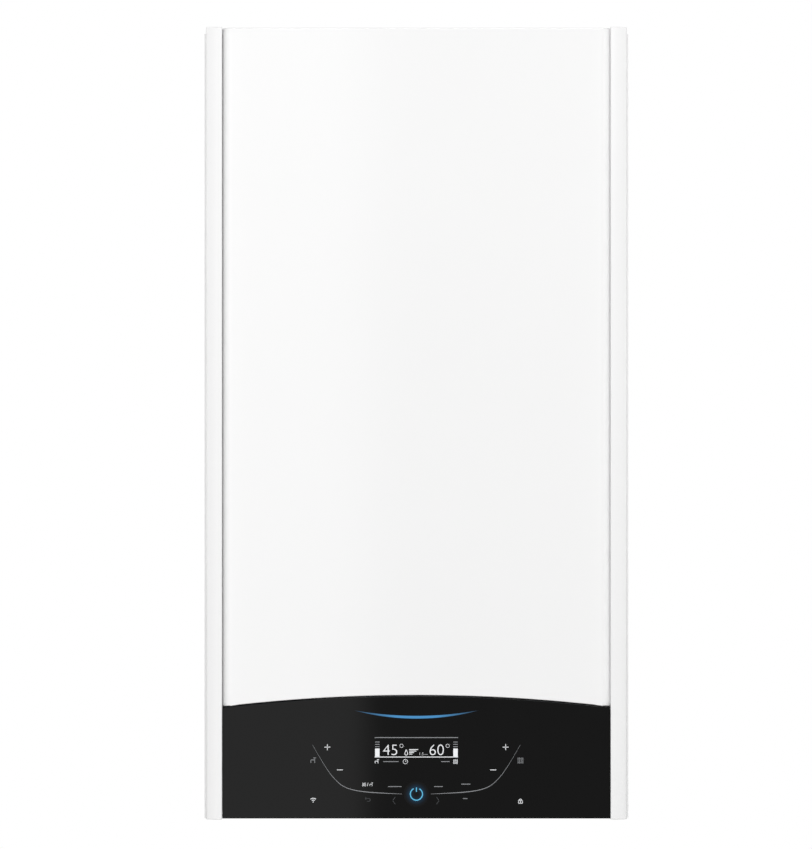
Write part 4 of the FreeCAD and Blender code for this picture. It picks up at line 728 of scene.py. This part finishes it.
def screw(bm, seat, axis, height, sizes):
    """Hexagon screw with a pressed washer, standing on a face along an axis."""
    stand = Matrix.Translation(seat) @ axis.to_track_quat("Z", "X").to_matrix().to_4x4()
    discs = ((WASHER_SIDES, sizes.washer_radius, 0, sizes.washer_height),
             (HEXAGON, sizes.hexagon_radius, sizes.washer_height, height))
    for sides, radius, foot, top in discs:
        made = bmesh.ops.create_circle(bm, cap_ends=True, segments=sides, radius=radius,
                                       matrix=stand @ Matrix.Translation((0, 0, foot)))
        far = pulled(bm, made["verts"][0].link_faces[:], axis * (top - foot))
        rounded(bm, far[0].edges[:], sizes.screw_edge, HEAD_STEPS)


class BOILER_OT_screws(bpy.types.Operator):
    """Zinc-plated screws of the flue collar, the plates and the back frame"""

    bl_idname = "boiler.screws"
    bl_label = "Screws"

    def execute(self, context):
        sizes = context.scene.boiler_fasteners
        zinc = drawn_metal("zinc_plated_steel", "#d3d6d8", "#b3b8bb", 0.3)
        for name, (body, axis, *rows) in SCREW_ROWS.items():
            bm = bmesh.new()
            for place in itertools.product(*rows):
                screw(bm, Vector(place) * MM, Vector(axis), sizes.screw_height, sizes)
            turned_out(bm)
            finished(bm, name, body, "galvanised", zinc)
        low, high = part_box("flue_collar")
        middle = Vector(((low.x + high.x) / 2, (low.y + high.y) / 2, high.z))
        up = Vector((0, 0, 1))
        bm = bmesh.new()
        for place in range(FLUE_SCREWS):
            turn = Matrix.Rotation(2 * math.pi * (place + 0.5) / FLUE_SCREWS, 3, "Z")
            screw(bm, middle + turn @ Vector((FLUE_SCREW_CIRCLE * MM, 0, 0)), up, sizes.low_height, sizes)
        turned_out(bm)
        finished(bm, "flue_collar_screws", "chassis", "galvanised", zinc)
        return {"FINISHED"}


# Marks on the facia. Places are millimetres from the facia's middle and above its foot.

# Bars of each symbol: x and height of the bar's middle and its length as shares of the symbol's height, its
# weight in strokes, and its turn from upright in degrees. A bar of no length is a square dot.
SYMBOL_BARS = {
    "plus": ((0, 0, 1, 1, 0), (0, 0, 1, 1, 90)),
    "minus": ((0, 0, 1, 1, 90),),
    "slash": ((0, 0, 1, 1, 20),),
    "arrow_left": ((0, 0.22, 0.62, 1, 35), (0, -0.22, 0.62, 1, -35)),
    "arrow_right": ((0, 0.22, 0.62, 1, -35), (0, -0.22, 0.62, 1, 35)),
    "tap": ((0.25, 0.45, 0.5, 1, 90), (0.25, 0, 0.8, 1, 0),
            (-0.08, 0.1, 0.66, 1.2, 90), (-0.4, -0.15, 0.5, 1, 0)),
    "radiator": (*((x, 0, 1, 1, 0) for x in (-0.405, -0.135, 0.135, 0.405)),
                 *((0, rise, 1, 0.7, 90) for rise in (-0.32, 0.32))),
    "clock": ((0, 0.14, 0.28, 0.7, 0), (0.1, 0, 0.24, 0.7, 90)),
    "lock": (*((0, rise, 0.8, 1, 90) for rise in (-0.46, 0.04)),
             *((x, -0.21, 0.5, 1, 0) for x in (-0.36, 0, 0.36))),
    "flame": ((-0.1, 0.25, 0.5, 1, 22), (0.1, 0.25, 0.5, 1, -22)),
    "back": ((0, 0.3, 0.8, 1, 90), (0.2, -0.3, 0.4, 1, 90),
             (-0.28, 0.18, 0.36, 1, -45), (-0.28, 0.42, 0.36, 1, 45)),
    "signal": ((0, 0, 0, 1.2, 0),),
}

# Rings of the symbols that have them: x and height of the middle and the outer radius as shares, the weight
# in strokes, and the start from the top and the sweep in degrees.
SYMBOL_RINGS = {
    "clock": ((0, 0, 0.5, 0.8, 0, 360),),
    "lock": ((0, 0.05, 0.33, 1, -90, 180),),
    "flame": ((0, -0.2, 0.3, 1, 40, 280),),
    "back": ((0.4, 0, 0.35625, 1, 0, 180),),
    "signal": ((0, 0, 0.45, 1, -45, 90), (0, 0, 0.8, 1, -45, 90)),
}

# Height of the mode key's symbols as a share of a touch symbol's.
MODE_SHARE = 3.4 / 5.6

# Printed and lit pieces: the finish's name, its colour and how strongly it is lit, the slot, the symbols and
# the plain bars. A symbol has its place, its size as a share of a touch symbol's and its weight as a share of
# the stroke. A bar has its place and its width, and its height where that isn't the stroke.
PRINTS = {
    "touch_symbols": (
        "white_screen_print", "ink", 0.05, "black_facia",
        (("plus", -83.8, 67.2, 1, 1), ("plus", 84.0, 67.2, 1, 1),
         ("minus", -72.0, 45.8, 1, 1), ("minus", 72.3, 45.8, 1, 1),
         ("signal", -97.1, 15.6, 0.88, 1.1), ("lock", 97.9, 16.7, 0.9, 0.9),
         ("radiator", -49.3, 32.0, MODE_SHARE, 0.6), ("slash", -45.9, 32.0, MODE_SHARE, 0.6),
         ("tap", -42.5, 32.0, MODE_SHARE, 0.6)),
        ()),
    "arrow_symbols": (
        "dark_grey_screen_print", "dim_ink", 0.0, "black_facia",
        (("arrow_left", -21.2, 16.9, 1.3, 0.8), ("arrow_right", 20.2, 16.9, 1.3, 0.8),
         ("back", -46.6, 17.6, 0.8, 0.7)),
        ()),
    "label_bars": (
        "grey_screen_print", "grey_ink", 0.0, "black_facia",
        (("tap", -97.1, 54.6, 1, 0.8), ("radiator", 97.9, 54.6, 1, 0.7)),
        ((-24.0, 53.6, 14.5), (27.3, 53.6, 8.0), (-20.2, 30.1, 12.5), (20.7, 30.1, 8.0),
         (46.5, 32.4, 8.5), (45.9, 18.8, 4.2), (9.0, 60.3, 3.4))),
    "display_bars": (
        "white_display_light", "ink", 0.25, "display",
        (("flame", -9.6, 62.2, 1, 0.8), ("tap", -37.2, 53.6, 0.75, 0.7),
         ("clock", -10.4, 53.6, 0.825, 0.6), ("radiator", 36.8, 53.6, 0.75, 0.6)),
        ((0, 57.9, 78.4), (-36.8, 61.9, 4.2, 8.0), (36.8, 61.9, 4.2, 8.0),
         (-2.55, 64.9, 8.5), (-3.5, 63.5, 6.6), (-4.5, 62.1, 4.6), (-5.35, 60.7, 2.9))),
    "display_lines": (
        "grey_display_light", "grey_ink", 0.05, "display", (),
        ((0, 76.2, 78.4),
         *((x, height, 4.2) for x in (-36.8, 36.8) for height in (72.0, 69.8, 67.6)))),
}

# Figures of the display: what they show, their place and their share of the full height.
FIGURES = {"figures_45": ("45°", -31.8, 59.6, 1.0), "figures_60": ("60°", 11.6, 59.6, 1.0),
           "figures_pressure": ("1.5", 2.2, 59.6, 0.26)}
# Height of a figure as a share of its font size, and how much of the stroke is taken off its outline.
FIGURE_SHARE, FIGURE_THINNED = 0.72, 0.32

# Points of the left key line, and its width in strokes: at its start, added along its way, and at its end.
LINE_ROUTE = ((-97.8, 69.4), (-89.9, 55.4), (-83.0, 44.6), (-77.3, 37.5), (-70.8, 31.3), (-63.5, 27.8),
              (-53.4, 25.6), (-37.6, 24.1), (-13.6, 23.1))
LINE_START, LINE_GROWTH, LINE_END = 0.3, 1.1, 0.4
LINE_ORDER, LINE_STEPS, LINE_FACETS = 3, 8, 2

# Degrees of a ring in one of its steps, and the fewest steps of a part of a ring.
RING_STEP, FEWEST_STEPS = 9, 6
GLOW_SIDES = 48
# Where the power ring starts and how far it runs, in degrees, and the middle and the length of its bar as
# shares of its radius.
POWER_START, POWER_SWEEP, POWER_BAR_PLACE, POWER_BAR = 28, 304, 0.68, 0.65

# How steeply the glow falls away from the ring, how far the arc's light reaches as a share of its half width,
# and the share of the falling light above which the arc is at its full strength.
GLOW_FALL, ARC_REACH, ARC_FADE = 2.2, 1.06, 0.7


def on_facia(x, height):
    """Point of the facia's face from its middle and its foot, in millimetres."""
    return Vector((x * MM, face_y, facia_low.z + height * MM))


def bar(bm, middle, width, height, turn=0):
    """Flat upright rectangle, turned by an angle in degrees."""
    matrix = (Matrix.Translation(middle) @ Matrix.Rotation(math.radians(turn), 4, "Y")
              @ Matrix.Rotation(math.radians(90), 4, "X") @ Matrix.Diagonal((width, height, 1, 1)))
    bmesh.ops.create_grid(bm, x_segments=1, y_segments=1, size=0.5, matrix=matrix)


def ring(bm, middle, radius, width, start, sweep):
    """Flat ring, or the part of one that starts at an angle from the top, made by spinning its width."""
    turn = Matrix.Rotation(math.radians(start), 4, "Y")
    ends = [bm.verts.new(middle + turn @ Vector((0, 0, reach))) for reach in (radius - width, radius)]
    edge = bm.edges.new(ends)
    bmesh.ops.spin(bm, geom=[*ends, edge], cent=middle, axis=(0, 1, 0), angle=math.radians(sweep),
                   steps=max(FEWEST_STEPS, round(sweep / RING_STEP)), use_merge=sweep == 360)


def symbol(bm, name, middle, height, stroke):
    """Draws a symbol from its bars and rings."""
    for x, rise, reach, weight, turn in SYMBOL_BARS[name]:
        width = weight * stroke
        bar(bm, middle + Vector((x, 0, rise)) * height, width, reach * height or width, turn)
    for x, rise, radius, weight, start, sweep in SYMBOL_RINGS.get(name, ()):
        ring(bm, middle + Vector((x, 0, rise)) * height, radius * height, weight * stroke, start, sweep)


def ink_piece(bm, name, material, slot, proud):
    """Gives flat marks the thickness of ink and puts them on the facia."""
    turned_out(bm)
    pulled(bm, bm.faces[:], Vector((0, -proud, 0)))
    turned_out(bm)
    return finished(bm, name, "control_panel", slot, material)


def printed(context, name):
    """Draws one of the printed or lit pieces and gives its finish."""
    sizes = context.scene.boiler_facia
    finish, tint, strength, slot, symbols, bars = PRINTS[name]
    material = lit_ink(finish, getattr(context.scene.boiler_finishes, tint), strength)
    bm = bmesh.new()
    for kind, x, height, size, weight in symbols:
        symbol(bm, kind, on_facia(x, height), size * sizes.symbol, weight * sizes.stroke)
    for x, height, width, *tall in bars:
        bar(bm, on_facia(x, height), width * MM, tall[0] * MM if tall else sizes.stroke)
    ink_piece(bm, name, material, slot, sizes.proud)
    return material


class BOILER_OT_key_marks(bpy.types.Operator):
    """Touch symbols printed on the facia, and the fine lines round the keys"""

    bl_idname = "boiler.key_marks"
    bl_label = "Touch symbols"

    def execute(self, context):
        printed(context, "touch_symbols")
        printed(context, "arrow_symbols")
        grey = printed(context, "label_bars")
        for side, name in ((1, "key_line_left"), (-1, "key_line_right")):
            self.line(context.scene.boiler_facia, side, name, grey)
        return {"FINISHED"}

    def line(self, sizes, side, name, material):
        """Fine line that sweeps round the keys and grows towards the power ring."""
        curve = bpy.data.curves.new(name, "CURVE")
        curve.dimensions = "3D"
        curve.bevel_depth = sizes.stroke / 2
        curve.bevel_resolution = LINE_FACETS
        curve.use_fill_caps = True
        spline = curve.splines.new("NURBS")
        last = len(LINE_ROUTE) - 1
        spline.points.add(last)
        for index, (x, height) in enumerate(LINE_ROUTE):
            spline.points[index].co = (*on_facia(side * x, height), 1)
            grown = LINE_START + LINE_GROWTH * index / last
            spline.points[index].radius = LINE_END if index == last else grown
        spline.order_u = LINE_ORDER
        spline.use_endpoint_u = True
        spline.resolution_u = LINE_STEPS
        mesh = lifted(curve, name)
        squeeze = sizes.proud / (sizes.stroke / 2)
        flat = Matrix.Translation((0, face_y, 0)) @ Matrix.Diagonal((1, squeeze, 1, 1))
        mesh.transform(flat @ Matrix.Translation((0, -face_y, 0)))
        placed(mesh, name, "control_panel", "black_facia", material)


def centred_ball(tree, place, middle, reach):
    """Share of light that falls from one at a point to nothing at its reach."""
    scale = 1 / reach
    centred = add(tree, "ShaderNodeMapping", {"Vector": place, "Location": -middle * scale,
                                              "Scale": [scale] * 3})
    return add(tree, "ShaderNodeTexGradient", {"Vector": centred.outputs["Vector"]},
               gradient_type="SPHERICAL").outputs["Fac"]


def ring_glow(finishes, middle, sizes):
    """Light that leaks through the black plate under the power ring and dies away on both sides of it."""
    material, tree, shader, place = surface("light_through_black_plate", Base_Color=finishes.facia,
                                            Roughness=0.1, IOR=1.25, Emission_Strength=0.1)
    ball = centred_ball(tree, place, middle, sizes.glow_radius)
    under_ring = 1 - sizes.ring_radius / sizes.glow_radius
    outside = add(tree, "ShaderNodeMapRange", {"Value": ball, "From Max": under_ring})
    inside = add(tree, "ShaderNodeMapRange", {"Value": ball, "From Min": under_ring, "From Max": 1.0,
                                              "To Min": 1.0, "To Max": 0.0})
    leak = add(tree, "ShaderNodeMath", {0: outside.outputs["Result"], 1: inside.outputs["Result"]},
               operation="MULTIPLY")
    soft = add(tree, "ShaderNodeMath", {0: leak.outputs["Value"], 1: GLOW_FALL}, operation="POWER")
    tone = add(tree, "ShaderNodeMix", {MIX_FACTOR: soft.outputs["Value"], MIX_FIRST: linear("#000000"),
                                       MIX_SECOND: finishes.light}, data_type="RGBA")
    tree.links.new(tone.outputs[MIX_RESULT], shader.inputs["Emission Color"])
    return material


def arc_light(finishes, middle, sizes):
    """Light arc behind the print: full blue in its middle, dying away towards both ends."""
    material, tree, shader, place = surface("blue_light_through_print", Base_Color=finishes.facia,
                                            Roughness=0.3, IOR=1.4, Emission_Strength=0.9)
    ball = centred_ball(tree, place, middle, sizes.arc_half * ARC_REACH)
    fade = add(tree, "ShaderNodeMapRange", {"Value": ball, "From Max": ARC_FADE})
    tone = add(tree, "ShaderNodeMix", {MIX_FACTOR: fade.outputs["Result"], MIX_FIRST: linear("#0a1f30"),
                                       MIX_SECOND: finishes.light}, data_type="RGBA")
    tree.links.new(tone.outputs[MIX_RESULT], shader.inputs["Emission Color"])
    return material


class BOILER_OT_lights(bpy.types.Operator):
    """Lit arc over the display, and the lit ring of the power key"""

    bl_idname = "boiler.lights"
    bl_label = "Lit arc and ring"

    def execute(self, context):
        sizes = context.scene.boiler_facia
        finishes = context.scene.boiler_finishes
        bm = bmesh.new()
        end_z = facia_low.z + sizes.arc_end
        left, right = (Vector((side * sizes.arc_half, face_y, end_z)) for side in (-1, 1))
        foot = Vector((0, face_y, facia_low.z + sizes.arc_low))
        lower = arc_between(bm, left, foot, right, ARC_STEPS)
        upper = arc_between(bm, left, foot + Vector((0, 0, sizes.arc_width)), right, ARC_STEPS)
        bm.faces.new(lower + upper[-2:0:-1])
        ink_piece(bm, "light_arc", arc_light(finishes, foot, sizes), "light_guide", sizes.proud)
        middle = Vector((0, face_y, facia_low.z + sizes.ring_height))
        bm = bmesh.new()
        bmesh.ops.create_circle(bm, cap_ends=True, segments=GLOW_SIDES, radius=sizes.glow_radius,
                                matrix=Matrix.Translation(middle) @ Matrix.Rotation(math.radians(90), 4, "X"))
        ink_piece(bm, "power_glow", ring_glow(finishes, middle, sizes), "light_guide", sizes.proud / 2)
        bm = bmesh.new()
        ring(bm, middle, sizes.ring_radius, sizes.ring_width, POWER_START, POWER_SWEEP)
        bar(bm, middle + Vector((0, 0, sizes.ring_radius * POWER_BAR_PLACE)), sizes.ring_width,
            sizes.ring_radius * POWER_BAR)
        ring_light = lit_ink("blue_ring_light", finishes.ring, 0.36)
        ink_piece(bm, "power_ring", ring_light, "light_guide", sizes.proud)
        return {"FINISHED"}


class BOILER_OT_display(bpy.types.Operator):
    """Lit figures, gauges and lines of the display"""

    bl_idname = "boiler.display"
    bl_label = "Display figures"

    def execute(self, context):
        sizes = context.scene.boiler_facia
        white = printed(context, "display_bars")
        printed(context, "display_lines")
        for name, (shown, x, height, share) in FIGURES.items():
            text = bpy.data.curves.new(name, "FONT")
            text.body = shown
            text.size = share * sizes.figure / FIGURE_SHARE
            text.offset = -share * sizes.stroke * FIGURE_THINNED
            text.extrude = sizes.proud / 2
            mesh = lifted(text, name)
            place = Matrix.Translation(on_facia(x, height) - Vector((0, sizes.proud / 2, 0)))
            mesh.transform(place @ Matrix.Rotation(math.radians(90), 4, "X"))
            placed(mesh, name, "control_panel", "display", white)
        return {"FINISHED"}


# Studio.

# Lights: their place and size in metres, and the setting that holds their power.
LAMPS = {"key_light": ((0.3, -3.8, 1.3), 1.2, "key"), "left_light": ((-3.0, 0.4, 0.2), 1.6, "side_light"),
         "right_light": ((3.0, 0.4, 0.2), 1.6, "side_light")}
# Ramps of the room's light: the axis of the ray's direction, and where on it the ramp starts and ends.
ROOM_RAMPS = {"front": ("Y", -0.75, -0.3), "rear": ("Y", 0.0, 0.4), "above": ("Z", 0.5, 0.95),
              "left": ("X", -0.006, -0.011), "near": ("Y", -0.8, -0.9)}
FLOOR_SIDES = 96
SENSOR_HEIGHT = 36.0
CLIP_END = 100.0


class BOILER_OT_stage(bpy.types.Operator):
    """Pale floor, soft studio light and the camera of the photograph"""

    bl_idname = "boiler.stage"
    bl_label = "Studio"

    def execute(self, context):
        studio = context.scene.boiler_studio
        self.floor(context, studio)
        self.room(context, studio)
        for name, (place, size, setting) in LAMPS.items():
            self.soft_light(context, name, Vector(place), size, getattr(studio, setting))
        self.camera(context, studio)
        context.scene.view_settings.view_transform = "Standard"
        return {"FINISHED"}

    def floor(self, context, studio):
        """Round pale floor, well below the casing."""
        bm = bmesh.new()
        bmesh.ops.create_circle(bm, cap_ends=True, segments=FLOOR_SIDES, radius=studio.floor_radius,
                                matrix=Matrix.Translation((0, 0, cad_low.z - studio.floor_drop)))
        mesh = bpy.data.meshes.new("floor")
        bm.to_mesh(mesh)
        bm.free()
        # Pale painted screed: matt, with a barely seen mottle.
        mesh.materials.append(patterned("pale_floor_paint", grain=60, detail=4.0,
                                        tones=(linear("#e9e8e6"), linear("#e3e2e0")), Roughness=0.7, IOR=1.4))
        floor = bpy.data.objects.new("floor", mesh)
        context.scene.collection.objects.link(floor)

    def room(self, context, studio):
        """Light of the room: white behind the object, dimmer in front, with a soft box left of the camera."""
        world = bpy.data.worlds.new("studio_room")
        context.scene.world = world
        world.use_nodes = True
        tree = world.node_tree
        tree.nodes.clear()
        ray = add(tree, "ShaderNodeTexCoord").outputs["Generated"]
        way = add(tree, "ShaderNodeSeparateXYZ", {"Vector": ray})
        levels = {"front": (studio.fill, studio.sides), "rear": (0.0, studio.rear - studio.sides),
                  "above": (0.0, studio.overhead), "left": (0.0, 1.0), "near": (0.0, 1.0)}
        ramps = {}
        for name, (axis, start, end) in ROOM_RAMPS.items():
            low, high = levels[name]
            ramp = add(tree, "ShaderNodeMapRange", {"Value": way.outputs[axis], "From Min": start,
                                                    "From Max": end, "To Min": low, "To Max": high})
            ramps[name] = ramp.outputs["Result"]
        box = add(tree, "ShaderNodeMath", {0: ramps["left"], 1: ramps["near"]}, operation="MULTIPLY")
        lift = add(tree, "ShaderNodeMath", {0: box.outputs["Value"], 1: studio.softbox - studio.fill},
                   operation="MULTIPLY")
        level = ramps["front"]
        for part in (ramps["rear"], ramps["above"], lift.outputs["Value"]):
            level = add(tree, "ShaderNodeMath", {0: level, 1: part}, operation="ADD").outputs["Value"]
        seen = add(tree, "ShaderNodeLightPath").outputs["Is Camera Ray"]
        lit = add(tree, "ShaderNodeBackground", {"Strength": level, "Color": linear("#ffffff")})
        plain = add(tree, "ShaderNodeBackground", {"Strength": studio.background, "Color": linear("#ffffff")})
        both = add(tree, "ShaderNodeMixShader", {"Fac": seen, 1: lit.outputs["Background"],
                                                 2: plain.outputs["Background"]})
        add(tree, "ShaderNodeOutputWorld", {"Surface": both.outputs["Shader"]})

    def soft_light(self, context, name, place, size, power):
        """Square soft light aimed at the casing's middle."""
        lamp = bpy.data.lights.new(name, "AREA")
        lamp.size = size
        lamp.energy = power
        light = bpy.data.objects.new(name, lamp)
        context.scene.collection.objects.link(light)
        light.location = place
        aim = (cad_low + cad_high) / 2 - place
        light.rotation_euler = aim.to_track_quat("-Z", "Y").to_euler()

    def camera(self, context, studio):
        """Long lens straight at the front, framed as the photograph is."""
        lens = bpy.data.cameras.new("camera")
        lens.sensor_fit = "VERTICAL"
        lens.sensor_height = SENSOR_HEIGHT
        lens.lens = SENSOR_HEIGHT * studio.camera_distance / (IMAGE_HEIGHT * PIXEL)
        lens.clip_end = CLIP_END
        camera = bpy.data.objects.new("camera", lens)
        context.scene.collection.objects.link(camera)
        middle_z = (cad_low.z + cad_high.z) / 2
        camera.location = (-studio.camera_aside, face_y - studio.camera_distance,
                           middle_z - studio.camera_below)
        camera.rotation_euler = (math.radians(90), 0, 0)
        context.scene.camera = camera


STEPS = (BOILER_OT_finishes, BOILER_OT_front_panel, BOILER_OT_trims, BOILER_OT_facia, BOILER_OT_pad,
         BOILER_OT_threads, BOILER_OT_union_nuts, BOILER_OT_screws, BOILER_OT_key_marks, BOILER_OT_lights,
         BOILER_OT_display, BOILER_OT_stage)

GROUPS = {"boiler_casing": CasingSizes, "boiler_fasteners": FastenerSizes, "boiler_facia": FaciaSizes,
          "boiler_finishes": Finishes, "boiler_studio": StudioSettings}


class BOILER_PT_build(bpy.types.Panel):
    """Lists the steps that dress the boiler"""

    bl_label = "Boiler"
    bl_idname = "BOILER_PT_build"
    bl_space_type = "VIEW_3D"
    bl_region_type = "UI"
    bl_category = "Boiler"

    def draw(self, context):
        for step in STEPS:
            self.layout.operator(step.bl_idname)


def register():
    """Adds the property groups, the operators and the panel."""
    for name, group in GROUPS.items():
        bpy.utils.register_class(group)
        setattr(bpy.types.Scene, name, bpy.props.PointerProperty(type=group))
    for step in (*STEPS, BOILER_PT_build):
        bpy.utils.register_class(step)


def unregister():
    """Takes them away again."""
    for step in (BOILER_PT_build, *reversed(STEPS)):
        bpy.utils.unregister_class(step)
    for name, group in GROUPS.items():
        delattr(bpy.types.Scene, name)
        bpy.utils.unregister_class(group)


def main():
    """Builds everything in order."""
    register()
    for step in STEPS:
        area, name = step.bl_idname.split(".")
        getattr(getattr(bpy.ops, area), name)()


if __name__ == "__main__":
    main()
